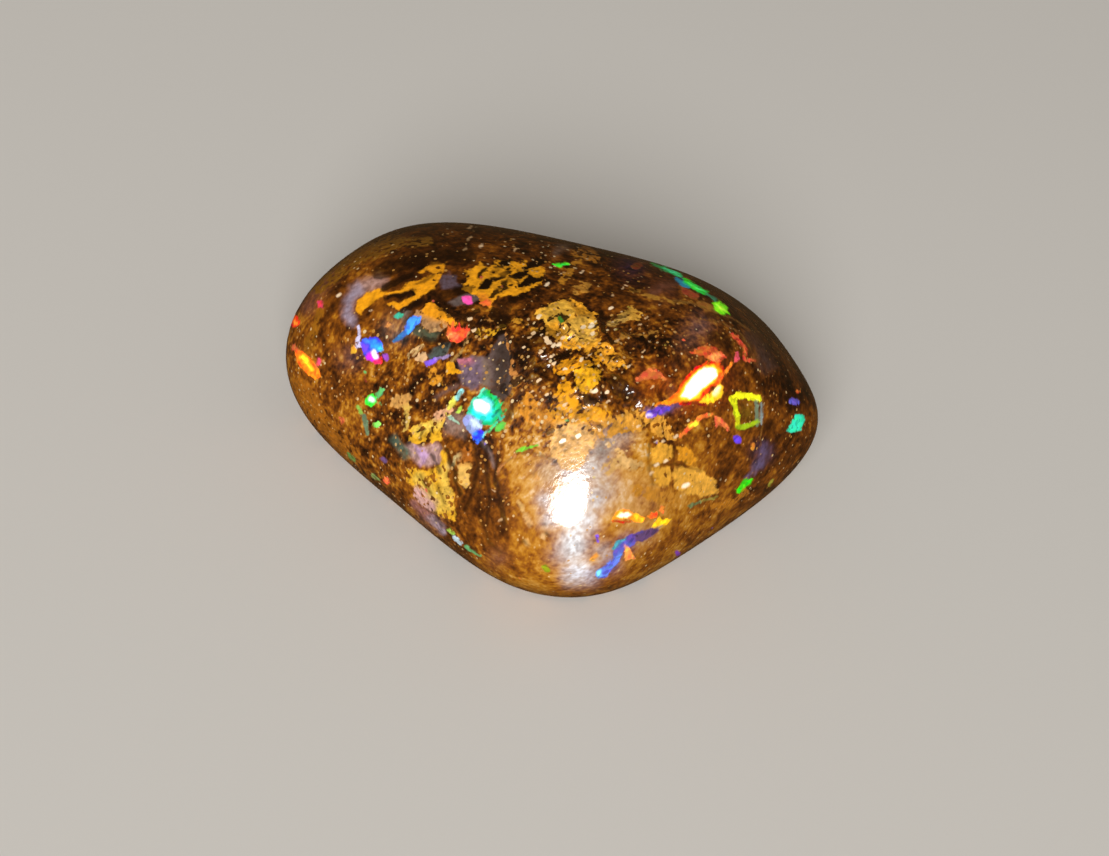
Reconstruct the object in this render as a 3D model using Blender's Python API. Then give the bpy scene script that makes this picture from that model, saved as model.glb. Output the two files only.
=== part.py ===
"""Boulder opal cabochon: one hand-ground, polished stone, about 22.7 x 17.3 x 9.6 mm.

The stone is a high rounded triangle with a long back edge and a nose at the front. A grinding
wheel gave it broad flats, and the polish rounded every edge between them, so its form is stated
here as those flats. The girdle is widest about 3 mm up and curves under to a flat sawn base.
Along the crown runs a band of natural pits that the polish didn't reach.

The origin is at the middle of the base, +X is the long way, +Y is away from the nose, and +Z
is up.
"""

import math
import random

import bmesh
import bpy
from mathutils import Vector, noise

MM = 0.001

# The stone's middle, from which the flats are measured, stands this high over the base.
MIDDLE = Vector((0.0, 0.0, 3.0 * MM))

# The ground flats: azimuth and elevation of the direction that each faces, in degrees, and its
# distance from the middle in millimetres. Azimuth 0 is +X, and 90 is +Y.
FLATS = {
    "crown": (100, 88, 6.6),
    "back slope": (89, 47, 7.8),
    "left end": (150, 46, 10.1),
    "left front": (231, 37, 7.2),
    "nose": (258, 46, 7.0),
    "right front": (322, 36, 7.4),
    "right end": (32, 47, 8.8),
    "girdle back": (94, 0, 8.9),
    "girdle left": (164, 0, 12.4),
    "girdle left front": (235, 0, 7.5),
    "girdle nose": (276, 0, 9.0),
    "girdle right front": (322, 0, 7.8),
    "girdle right": (28, 0, 13.0),
    "under back": (90, -42, 8.0),
    "under left": (168, -38, 10.2),
    "under left front": (235, -44, 6.7),
    "under nose": (280, -44, 7.4),
    "under right front": (322, -44, 7.3),
    "under right": (24, -44, 9.2),
    "underside": (0, -90, 5.2),
}
# A higher number leaves crisper edges between the flats.
EDGE_SHARPNESS = 10.0

# Slow waves that a hand-held stone keeps.
WAVE_LENGTH = 5.5 * MM
WAVE_HEIGHT = 0.07 * MM

# The band of natural pits: its middle as seen from above, its half length and half width, and
# the angle that its long side makes with +X.
PIT_BAND_MIDDLE = (0.6 * MM, -1.9 * MM)
PIT_BAND_HALF_LENGTH = 5.2 * MM
PIT_BAND_HALF_WIDTH = 2.6 * MM
PIT_BAND_TURN = math.radians(-28)
PIT_COUNT = 36
PIT_RADIUS = (0.4 * MM, 0.9 * MM)
PIT_DEPTH = (0.08 * MM, 0.22 * MM)
# Pits stay off the outer part of the band, which is left as a finer surface around them.
PIT_REACH = 0.9
PIT_SEED = 11

# A sphere of 5,120 triangles is shaped into the stone. Over the pit band each of its edges is
# cut twice more.
SPHERE_SUBDIVISIONS = 5
PIT_BAND_CUTS = 2
BASE_CHAMFER = 0.25 * MM
MERGE_DISTANCE = 0.04 * MM


def facing(azimuth, elevation):
    """Unit vector for an azimuth and an elevation in degrees."""
    turn = math.radians(azimuth)
    rise = math.radians(elevation)
    return Vector((math.cos(turn) * math.cos(rise), math.sin(turn) * math.cos(rise), math.sin(rise)))


GROUND = [(facing(azimuth, elevation), distance * MM) for azimuth, elevation, distance in FLATS.values()]


def ground_reach(direction):
    """Distance from the middle to the ground surface in a direction, with rounded edges."""
    total = 0.0
    for normal, distance in GROUND:
        toward = direction.dot(normal)
        if toward > 0.0:
            total += (toward / distance) ** EDGE_SHARPNESS
    return total ** (-1.0 / EDGE_SHARPNESS)


def ground_point(direction):
    """Point of the stone's surface in a direction from the middle, with the hand's slow waves."""
    reach = ground_reach(direction)
    wave = noise.noise((MIDDLE + direction * reach) / WAVE_LENGTH)
    return MIDDLE + direction * (reach + WAVE_HEIGHT * wave)


def band_place(point):
    """Place of a point along and across the pit band, where 1 is its edge."""
    from_middle = Vector((point.x - PIT_BAND_MIDDLE[0], point.y - PIT_BAND_MIDDLE[1]))
    along = from_middle.x * math.cos(PIT_BAND_TURN) + from_middle.y * math.sin(PIT_BAND_TURN)
    across = from_middle.y * math.cos(PIT_BAND_TURN) - from_middle.x * math.sin(PIT_BAND_TURN)
    return math.hypot(along / PIT_BAND_HALF_LENGTH, across / PIT_BAND_HALF_WIDTH)


def scattered_pits():
    """Pits as (point, radius, depth), scattered over the band."""
    rng = random.Random(PIT_SEED)
    pits = []
    while len(pits) < PIT_COUNT:
        turn = rng.uniform(0.0, math.tau)
        rise = math.asin(rng.uniform(0.3, 1.0))
        direction = facing(math.degrees(turn), math.degrees(rise))
        point = ground_point(direction)
        if band_place(point) > PIT_REACH:
            continue
        radius = rng.uniform(*PIT_RADIUS)
        depth = rng.uniform(*PIT_DEPTH)
        pits.append((point, radius, depth))
    return pits


def pit_depth_at(point, pits):
    """How far the pits lower the surface at a point. Where pits meet, the deepest counts."""
    deepest = 0.0
    for centre, radius, depth in pits:
        share = (point - centre).length / radius
        if share < 1.0:
            deepest = max(deepest, depth * (1.0 - share * share) ** 2)
    return deepest


def split_pit_band(bm):
    """Give the sphere finer triangles where the pit band will lie."""
    upper = [vert for vert in bm.verts if vert.co.z > 0.0]
    in_band = {vert for vert in upper if band_place(ground_point(vert.co.normalized())) < 1.0}
    edges = [edge for edge in bm.edges if in_band.intersection(edge.verts)]
    bmesh.ops.subdivide_edges(bm, edges=edges, cuts=PIT_BAND_CUTS, use_grid_fill=True)
    bmesh.ops.triangulate(bm, faces=bm.faces)


def shape_stone(bm):
    """Move every point of the sphere onto the ground and pitted surface."""
    pits = scattered_pits()
    for vert in bm.verts:
        direction = vert.co.normalized()
        point = ground_point(direction)
        vert.co = point - direction * pit_depth_at(point, pits)


def cut_level(bm, height, remove_below):
    """Cut every face that crosses a level plane, and take away what is under it if asked."""
    geometry = list(bm.verts) + list(bm.edges) + list(bm.faces)
    bmesh.ops.bisect_plane(
        bm, geom=geometry, plane_co=(0, 0, height), plane_no=(0, 0, -1), clear_outer=remove_below,
    )


def saw_base(bm):
    """Cut the stone flat at z = 0, slope the rim in at 45 degrees, and close the base."""
    cut_level(bm, BASE_CHAMFER, remove_below=False)
    cut_level(bm, 0.0, remove_below=True)
    bmesh.ops.remove_doubles(bm, verts=bm.verts, dist=MERGE_DISTANCE)
    for vert in bm.verts:
        if vert.is_boundary:
            vert.co.z = 0.0
    for vert in bm.verts:
        inward = BASE_CHAMFER - vert.co.z
        if inward > 0.0:
            outward = Vector((vert.co.x, vert.co.y, 0.0)).normalized()
            vert.co -= outward * inward
    open_edges = [edge for edge in bm.edges if edge.is_boundary]
    bmesh.ops.holes_fill(bm, edges=open_edges, sides=0)
    bmesh.ops.triangulate(bm, faces=bm.faces)


def centre_on_base(bm):
    """Put the middle of the stone's length and width over the origin."""
    for axis in (0, 1):
        places = [vert.co[axis] for vert in bm.verts]
        shift = Vector((0, 0, 0))
        shift[axis] = -(min(places) + max(places)) / 2
        bmesh.ops.translate(bm, verts=bm.verts, vec=shift)


def stone_material():
    """Polished ironstone: a deep amber brown with a glassy finish."""
    material = bpy.data.materials.new("polished_boulder_opal")
    material.use_nodes = True
    shader = material.node_tree.nodes["Principled BSDF"]
    shader.inputs["Base Color"].default_value = (0.13, 0.055, 0.014, 1.0)
    shader.inputs["Roughness"].default_value = 0.12
    shader.inputs["Metallic"].default_value = 0.0
    return material


def make_stone(collection):
    """The whole cabochon, one closed solid."""
    bm = bmesh.new()
    bmesh.ops.create_icosphere(bm, subdivisions=SPHERE_SUBDIVISIONS, radius=1.0)
    split_pit_band(bm)
    shape_stone(bm)
    saw_base(bm)
    centre_on_base(bm)
    bmesh.ops.recalc_face_normals(bm, faces=bm.faces)
    mesh = bpy.data.meshes.new("opal_stone")
    bm.to_mesh(mesh)
    bm.free()
    mesh.shade_smooth()
    mesh.set_sharp_from_angle(angle=math.radians(40))
    mesh.materials.append(stone_material())
    stone = bpy.data.objects.new("opal_stone", mesh)
    collection.objects.link(stone)
    return stone


def main():
    for old in list(bpy.data.objects):
        bpy.data.objects.remove(old, do_unlink=True)
    collection = bpy.data.collections.new("boulder_opal_cabochon")
    bpy.context.scene.collection.children.link(collection)
    make_stone(collection)


main()
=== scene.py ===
import math
import random
from collections import namedtuple

import bmesh
import bpy
import numpy as np
from bpy.props import FloatProperty, FloatVectorProperty, PointerProperty
from bpy.types import Operator, Panel, PropertyGroup
from mathutils import Matrix, Vector, noise


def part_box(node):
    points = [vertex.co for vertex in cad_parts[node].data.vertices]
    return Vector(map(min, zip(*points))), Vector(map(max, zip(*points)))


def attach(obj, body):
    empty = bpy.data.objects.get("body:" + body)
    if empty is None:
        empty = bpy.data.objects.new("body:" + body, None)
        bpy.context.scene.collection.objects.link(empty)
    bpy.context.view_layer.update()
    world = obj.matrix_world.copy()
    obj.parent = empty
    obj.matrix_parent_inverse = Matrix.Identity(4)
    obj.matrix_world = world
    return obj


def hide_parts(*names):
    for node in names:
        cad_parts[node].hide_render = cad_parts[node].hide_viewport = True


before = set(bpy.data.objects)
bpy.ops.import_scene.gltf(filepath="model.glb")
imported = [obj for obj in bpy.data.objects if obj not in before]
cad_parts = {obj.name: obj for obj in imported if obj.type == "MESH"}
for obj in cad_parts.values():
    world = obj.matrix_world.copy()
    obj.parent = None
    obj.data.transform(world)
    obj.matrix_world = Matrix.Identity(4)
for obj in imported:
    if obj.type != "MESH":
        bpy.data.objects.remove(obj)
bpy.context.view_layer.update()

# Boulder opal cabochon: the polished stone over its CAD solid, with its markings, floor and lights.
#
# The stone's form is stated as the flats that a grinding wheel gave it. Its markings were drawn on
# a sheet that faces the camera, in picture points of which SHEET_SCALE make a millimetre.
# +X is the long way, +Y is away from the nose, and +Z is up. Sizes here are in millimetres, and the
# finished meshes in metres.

bl_info = {
    "name": "Boulder opal cabochon",
    "version": (1, 0, 0),
    "blender": (4, 5, 0),
    "location": "View3D > Sidebar > Opal",
    "description": "Makes a polished boulder opal cabochon and a plain studio for it",
    "category": "Add Mesh",
}

MM = 0.001

# ---- the stone's form -------------------------------------------------------------------------

# The flats are measured from here.
MIDDLE = np.array((0.0, 0.0, 3.0))
# The ground flats: azimuth and elevation of the direction that each faces, in degrees, and its
# distance from the middle.
FLATS = {
    "crown": (100, 88, 6.6),
    "back slope": (89, 47, 7.8),
    "left end": (150, 46, 10.1),
    "left front": (231, 37, 7.2),
    "nose": (258, 46, 7.0),
    "right front": (322, 36, 7.4),
    "right end": (32, 47, 8.8),
    "girdle back": (94, 0, 8.9),
    "girdle left": (164, 0, 12.4),
    "girdle left front": (235, 0, 7.5),
    "girdle nose": (276, 0, 9.0),
    "girdle right front": (322, 0, 7.8),
    "girdle right": (28, 0, 13.0),
    "under back": (90, -42, 8.0),
    "under left": (168, -38, 10.2),
    "under left front": (235, -44, 6.7),
    "under nose": (280, -44, 7.4),
    "under right front": (322, -44, 7.3),
    "under right": (24, -44, 9.2),
    "underside": (0, -90, 5.2),
}
# Slow waves that a hand-held stone keeps.
WAVE_LENGTH = 5.5
WAVE_HEIGHT = 0.07
BASE_CHAMFER = 0.25
MERGE_DISTANCE = 0.02
CREASE_ANGLE = math.radians(40)

# The band of natural pits on the crown: its middle, half length and half width as seen from above,
# and the angle of its long side.
PIT_BAND_MIDDLE = (0.6, -1.9)
PIT_BAND_HALF_LENGTH = 5.2
PIT_BAND_HALF_WIDTH = 2.6
PIT_BAND_TURN = math.radians(-28)
PIT_COUNT = 36
# The sine of a pit's elevation lies between these.
PIT_RISE = (0.3, 1.0)
PIT_RADIUS = (0.4, 0.9)
PIT_DEPTH = (0.08, 0.22)
# Pits stay off the outer part of the band.
PIT_REACH = 0.9
PIT_SEED = 11
# Sand-like grains inside the pits, too fine for the solid. They end at this place of the band,
# where 1 is its edge, come in over so much of it, and have their tops polished off.
GRAIN_RELIEF_SIZES = (0.45, 0.26)
GRAIN_RELIEF_HEIGHTS = (0.07, 0.05)
GRAIN_RELIEF_EDGE = 1.05
GRAIN_RELIEF_FADE = 0.35
GRAIN_RELIEF_LIFT = 0.1
GRAIN_RELIEF_TOP = 0.15
# The broken gloss of the pits ends and fades in the same way.
BROKEN_GLOSS_EDGE = 1.1
BROKEN_GLOSS_FADE = 0.4
# The material slot of the sawn base.
SAWN_SLOT = 1
# Each edge of an icosahedron is cut so often, and then the edges near a marking's own edge are
# halved once for each of these reaches, in picture points.
SPHERE_CUTS = 42
HALVING_REACHES = (7.0, 2.2)

# ---- the camera, which the markings' sheet faces, and the key light ---------------------------

PICTURE_SIZE = (1109, 856)
# Focal length in picture points.
LENS_POINTS = 2200.0
SENSOR_WIDTH = 36.0
CAMERA_ELEVATION = math.radians(44)
CAMERA_ROLL = math.radians(12)
CAMERA_DISTANCE = 92.0
CAMERA_TARGET = np.array((0.378, -0.565, 3.0))
# Nearest and farthest that it shows, in metres.
CAMERA_CLIP = (0.001, 10.0)
SHEET_SCALE = 24.0
# The key light lies in the direction of a point that is so far right of and above the lens. It is
# an oval of this width and height, which gives the highlight on the nose its shape.
KEY_BESIDE_LENS = (-7.5, -19.5)
KEY_DISTANCE = 600.0
KEY_SIZE = (350.0, 290.0)
KEY_COLOUR = "#fffdfa"
# What the polish mirrors of the fill light: a dim warm surround, as between black cards.
REFLECTED_FILL = "#7c6040"
FILL_COLOUR = "#fbf2e6"

# ---- the matrix's grains ----------------------------------------------------------------------

CLOUD_SIZE = 1.7
CLOT_SIZE = 0.42
GAP_SIZE = 0.24
SPECK_SPACING = 0.16
# How much the clouds, clots and grains each shift the matrix's tone.
CLOUD_WEIGHT = 0.90
CLOT_WEIGHT = 0.80
GRAIN_WEIGHT = 0.50
# The edge of a flash steps by so much from scale to scale of the opal.
SCALE_STEP = 0.05
# How much of the specks' colour shows, and how many more there are where the contrast is high.
SPECK_STRENGTH = 0.85
SPECKS_PER_CONTRAST = 0.14
# How much the ochre's openness adds to its brown gaps, how much the clots take from them, and how
# much the clots shade it.
GAP_OPENNESS = 0.13
GAP_CLOTS = -0.15
OCHRE_SHADE = 1.1
# How strongly a painted glint glows: emission that stands in for light glinting off a grain.
GLINT_STRENGTH = 0.6
# Outside the pits the polish still keeps so much of their broken gloss.
EVERYWHERE_ROUGH = 0.12
# The grains are so much longer along the bedding, which bends by so much over such a length.
BEDDING_STRETCH = 1.25
BEDDING_BEND = 0.6
BEDDING_BEND_LENGTH = 2.6
SAWN_CLOUD_SIZE = 1.8
SAW_MARK_SPACING = 3.0

CAMERA_FORWARD = np.array((0.0, math.cos(CAMERA_ELEVATION), -math.sin(CAMERA_ELEVATION)))
LEVEL_RIGHT = np.array((1.0, 0.0, 0.0))
LEVEL_UP = np.cross(LEVEL_RIGHT, CAMERA_FORWARD)
CAMERA_RIGHT = math.cos(CAMERA_ROLL) * LEVEL_RIGHT + math.sin(CAMERA_ROLL) * LEVEL_UP
CAMERA_UP = math.cos(CAMERA_ROLL) * LEVEL_UP - math.sin(CAMERA_ROLL) * LEVEL_RIGHT
CAMERA_PLACE = CAMERA_TARGET - CAMERA_DISTANCE * CAMERA_FORWARD
# The bedding rises to the right over the nose and the left end, and runs level along the back.
BEDDING_WAYS = (0.62 * CAMERA_RIGHT + 0.78 * CAMERA_UP, CAMERA_RIGHT - 0.12 * CAMERA_UP)


# ---- colours ----------------------------------------------------------------------------------

def linear(hex_text):
    """Linear red, green, blue and alpha of an sRGB colour such as #a8650c."""
    parts = [int(hex_text[i:i + 2], 16) / 255 for i in (1, 3, 5)]
    turned = [
        part / 12.92 if part <= 0.04045 else ((part + 0.055) / 1.055) ** 2.4
        for part in parts
    ]
    return (*turned, 1.0)


# ---- markings ---------------------------------------------------------------------------------
# A marking lists its points on the sheet, in picture points. A width is that of a stroke through
# them, and several widths make it taper. None makes the points an outline. Later markings lie over
# earlier ones.

# Ochre and amber: (colour, how open it is with brown gaps, width, points). Under 0 it has no gaps.
OCHRE = [
    # leopard patch
    ("#ffac14", 0.0, None, [(467, 273), (475, 268), (481, 261), (486, 266), (492, 267), (497, 262),
     (504, 261), (514, 261), (529, 261), (527, 268), (534, 269), (543, 267), (543, 273),
     (539, 283), (533, 288), (524, 292), (518, 297), (509, 296), (498, 296), (492, 303),
     (488, 305), (483, 303), (479, 298), (471, 293), (462, 291), (465, 283), (471, 278)]),
    ("#e88a1c", 0.0, 5, [(483, 299), (488, 304)]),
    # amber in the halo, and the streaks that run from it
    ("#f8a610", 0.0, None, [(356, 313), (358, 302), (366, 293), (378, 288), (387, 289), (384, 296),
     (374, 301), (366, 308), (360, 315)]),
    ("#e89812", 0.1, None, [(419, 273), (426, 266), (434, 264), (448, 264), (444, 270), (436, 274),
     (428, 272)]),
    ("#f6a210", 0.1, None, [(388, 293), (400, 290), (412, 283), (424, 278), (436, 273), (443, 271),
     (440, 279), (437, 287), (430, 292), (421, 297), (414, 302), (406, 306), (398, 310),
     (390, 308), (388, 303), (398, 302), (408, 298), (416, 294), (412, 291), (402, 293),
     (392, 295)]),
    ("#b98a5a", 0.0, None, [(418, 311), (426, 309), (434, 318), (446, 321), (449, 326), (440, 332),
     (430, 331), (421, 326), (416, 318)]),
    ("#f09c14", 0.0, None, [(427, 303), (434, 302), (441, 309), (450, 315), (460, 323), (457, 327),
     (450, 321), (441, 318), (432, 318), (424, 311)]),
    # small amber marks of the left middle
    ("#e8a010", 0.0, None, [(444, 374), (447, 368), (453, 362), (457, 368), (463, 373),
     (452, 375)]),
    ("#d08a20", 0.0, 4, [(429, 377), (431, 370), (435, 370), (434, 376), (432, 384)]),
    ("#d08a20", 0.0, 4, [(438, 377), (442, 376), (440, 383), (446, 388)]),
    ("#c8924c", 0.1, None, [(389, 400), (396, 397), (404, 396), (409, 392), (415, 392), (411, 400),
     (408, 408), (399, 409), (392, 406)]),
    ("#c9a34a", 0.0, None, [(406, 410), (412, 409), (409, 416), (408, 424), (404, 432), (402, 433),
     (404, 420)]),
    ("#d2a878", 0.0, None, [(415, 357), (421, 352), (425, 352), (426, 359), (420, 361)]),
    # lower left, mottled
    ("#e6ab22", 0.45, None, [(413, 424), (421, 423), (430, 420), (437, 413), (445, 418),
     (443, 432), (441, 444), (430, 440), (420, 442), (410, 445), (409, 436)]),
    ("#e6ab22", 0.5, None, [(442, 446), (446, 456), (449, 467), (450, 478), (451, 493), (454, 507),
     (456, 518), (447, 521), (434, 512), (423, 503), (415, 490), (406, 478), (413, 478),
     (408, 468), (418, 471), (428, 473), (436, 468), (440, 457)]),
    ("#f0c850", 0.3, 5, [(418, 430), (428, 426), (438, 424)]),
    ("#efc44c", 0.3, 6, [(420, 480), (432, 494), (440, 508)]),
    ("#efc04a", 0.3, 5, [(444, 470), (446, 488), (448, 506)]),
    ("#d9a8a0", 0.4, 7, [(416, 492), (430, 506)]),
    ("#d8a078", 0.1, 5, [(436, 416), (443, 412), (450, 408)]),
    ("#e6b45a", 0.1, None, [(458, 464), (470, 464), (472, 474), (470, 484), (466, 491), (460, 486),
     (457, 476)]),
    ("#b0641a", 0.3, None, [(457, 452), (466, 447), (471, 454), (470, 462), (459, 462)]),
    ("#b8a06a", 0.0, 3, [(456, 456), (452, 466)]),
    # crown
    ("#f6aa26", 0.35, None, [(536, 314), (544, 307), (551, 303), (564, 299), (574, 300),
     (584, 305), (596, 314), (599, 328), (600, 339), (609, 345), (612, 356), (622, 360),
     (625, 368), (610, 370), (598, 362), (584, 352), (573, 350), (562, 346), (556, 338),
     (548, 336), (546, 326)]),
    ("#ffc244", 0.1, None, [(536, 318), (544, 310), (552, 306), (564, 304), (572, 310), (564, 318),
     (549, 320), (540, 323)]),
    ("#ffc44c", 0.3, None, [(566, 326), (576, 318), (588, 318), (596, 326), (592, 338), (580, 342),
     (568, 338)]),
    ("#e4960e", 0.45, None, [(550, 372), (558, 362), (570, 358), (584, 356), (598, 358),
     (600, 366), (588, 368), (574, 368), (562, 378)]),
    ("#f2ae16", 0.1, None, [(573, 372), (582, 368), (591, 366), (602, 370), (603, 380), (594, 387),
     (586, 393), (576, 388)]),
    ("#f0a428", 0.1, 6, [(602, 344), (611, 352), (614, 360)]),
    ("#e49a12", 0.15, None, [(544, 418), (552, 406), (558, 396), (560, 386), (564, 378),
     (572, 386), (576, 396), (584, 404), (598, 408), (612, 412), (614, 420), (602, 428),
     (588, 430), (570, 426), (556, 428)]),
    ("#cc8420", 0.5, None, [(518, 396), (530, 392), (540, 400), (546, 412), (552, 424), (546, 434),
     (532, 426), (522, 412)]),
    ("#e6ae62", -0.6, None, [(550, 436), (558, 428), (570, 425), (584, 428), (594, 434),
     (595, 445), (588, 455), (582, 464), (572, 470), (560, 468), (552, 458), (549, 447)]),
    ("#d09030", 0.3, None, [(590, 430), (606, 424), (620, 414), (640, 410), (652, 420), (640, 432),
     (620, 436), (600, 440)]),
    ("#e4a83c", 0.3, None, [(618, 314), (626, 310), (634, 308), (642, 314), (640, 322), (630, 320),
     (622, 320)]),
    ("#d8a850", 0.0, 5, [(609, 323), (618, 322), (624, 319)]),
    ("#c07a20", 0.9, None, [(572, 258), (580, 246), (590, 246), (600, 256), (602, 264), (592, 262),
     (582, 256)]),
    ("#c0801e", 0.8, 7, [(562, 280), (570, 270), (578, 262)]),
    ("#c48830", 0.9, None, [(570, 290), (580, 282), (592, 284), (588, 292), (576, 296)]),
    ("#c88a22", 0.8, 5, [(512, 318), (524, 324), (540, 330)]),
    ("#d8a01e", 0.5, 6, [(480, 330), (486, 336), (494, 332), (502, 326)]),
    ("#c88838", 0.4, 4, [(478, 322), (486, 320), (492, 321)]),
    ("#b87838", 0.1, None, [(504, 331), (508, 336), (510, 348), (513, 360), (519, 370), (521, 378),
     (516, 382), (512, 374), (509, 360), (506, 346)]),
    ("#b8802a", 0.9, 4, [(630, 290), (650, 296), (672, 302), (690, 302)]),
    ("#a8742a", 1.0, 4, [(620, 336), (640, 336), (656, 332)]),
    # tan cells of the lower right
    ("#f8b43e", -0.6, None, [(672, 474), (684, 466), (694, 466), (706, 471), (716, 482),
     (717, 494), (702, 499), (690, 494), (676, 490)]),
    ("#f0ac36", -0.6, None, [(650, 448), (660, 442), (671, 446), (673, 456), (667, 463),
     (654, 463)]),
    ("#f0ac36", -0.6, None, [(653, 468), (670, 466), (672, 474), (668, 486), (656, 483)]),
    ("#e89a1c", -0.6, None, [(675, 445), (684, 446), (692, 452), (696, 460), (688, 465),
     (679, 460)]),
    ("#e4a038", 0.4, None, [(622, 420), (636, 412), (650, 410), (662, 416), (670, 428), (676, 440),
     (664, 438), (650, 430), (636, 426)]),
    ("#cfa05c", 0.4, 12, [(606, 470), (622, 462), (640, 466)]),
    ("#c47c18", 0.5, 8, [(716, 508), (734, 500), (746, 492)]),
    ("#c88628", 0.8, 12, [(636, 490), (656, 494), (676, 500)]),
    # pale spots on the rounded bumps of the nose: painted glints, where the bumps catch the light
    ("#dca868", -0.6, (4, 6, 4), [(526, 517), (528, 522), (530, 527)]),
    ("#dcac70", -0.6, 6, [(542, 535), (543, 537)]),
    ("#d8a45c", -0.6, 5, [(527, 541), (528, 544)]),
    ("#d8a860", -0.6, (3, 5, 3), [(519, 502), (522, 506), (523, 511)]),
    ("#e0b070", -0.6, 5, [(607, 443), (609, 445)]),
    ("#dcae6c", -0.6, (4, 6, 4), [(618, 452), (624, 457), (627, 463)]),
    ("#d89c50", -0.6, 5, [(596, 556), (593, 559)]),
    ("#d09448", -0.6, (4, 5), [(532, 470), (537, 478)]),
    # bands along the left edge
    ("#a8640e", 0.25, 18, [(300, 386), (316, 414), (334, 438), (352, 456)]),
    ("#94600f", 0.6, 17, [(318, 286), (340, 268), (366, 254), (392, 244)]),
    ("#a0640e", 0.3, 9, [(320, 314), (314, 332), (308, 350)]),
    ("#8a5c14", 0.8, 9, [(398, 238), (412, 244), (428, 240)]),
]
# Potch, the opal without fire, grey and lilac: (colour, how soft its edge is, width, points).
POTCH = [
    ("#6e5a56", 1.5, None, [(458, 362), (464, 358), (474, 356), (488, 356), (494, 346), (499, 337),
     (506, 333), (508, 347), (511, 366), (513, 383), (509, 395), (503, 401), (490, 392),
     (483, 385), (470, 390), (462, 382)]),
    ("#7a6478", 5, None, [(460, 366), (472, 360), (482, 360), (484, 372), (478, 390), (466, 386)]),
    ("#86705c", 4, 4, [(484, 362), (487, 374), (484, 386)]),
    ("#3a2d26", 6, None, [(494, 350), (501, 338), (508, 338), (512, 366), (512, 386), (503, 400),
     (490, 392), (494, 372)]),
    ("#a8687c", 3, None, [(459, 362), (466, 358), (475, 360), (470, 366), (462, 367)]),
    ("#b48c80", 5, 12, [(380, 280), (366, 284), (356, 291)]),
    ("#a092a6", 5, 10, [(357, 290), (350, 300), (347, 312), (350, 320)]),
    ("#5f4f5a", 2, None, [(441, 276), (450, 272), (458, 276), (462, 286), (452, 288), (442, 287)]),
    ("#6a5c58", 1.5, None, [(446, 304), (456, 298), (470, 295), (482, 298), (474, 304),
     (458, 307)]),
    ("#4c5440", 3, None, [(408, 331), (416, 325), (427, 330), (440, 332), (436, 339), (424, 341),
     (414, 337)]),
    ("#4c5650", 1.5, None, [(426, 354), (434, 348), (442, 343), (452, 346), (450, 354), (440, 358),
     (430, 360)]),
    ("#7a6a5c", 3, None, [(398, 318), (406, 308), (412, 312), (404, 320)]),
    ("#96786a", 6, None, [(444, 416), (454, 410), (463, 416), (468, 426), (462, 437), (447, 434)]),
    ("#c49c98", 3, None, [(406, 448), (414, 443), (424, 446), (434, 442), (442, 450), (440, 462),
     (430, 468), (418, 466), (410, 458)]),
    ("#c8a0d0", 3, None, [(416, 446), (422, 448), (428, 452), (424, 464), (420, 468), (417, 456)]),
    ("#566858", 4, 8, [(395, 440), (402, 450), (406, 456)]),
    ("#54403c", 8, 10, [(750, 336), (760, 350), (768, 366)]),
    ("#a8706c", 4, 8, [(414, 504), (426, 515)]),
    ("#b09cac", 3, 6, [(430, 518), (443, 530)]),
    ("#7a5c48", 4, 8, [(556, 252), (566, 247)]),
    ("#7a4c38", 4, 6, [(650, 292), (664, 286), (674, 286)]),
    ("#6c5048", 3, 4, [(436, 398), (448, 390), (458, 386)]),
    ("#7e6a66", 3, 3, [(480, 440), (490, 452), (494, 466)]),
    ("#604c68", 4, (11, 6), [(766, 447), (763, 457), (757, 466)]),
    ("#6c5c80", 3, (6, 3), [(758, 464), (752, 470), (746, 478)]),
    ("#7c6cb0", 3, (9, 4), [(650, 413), (662, 410), (680, 402)]),
]
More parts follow.
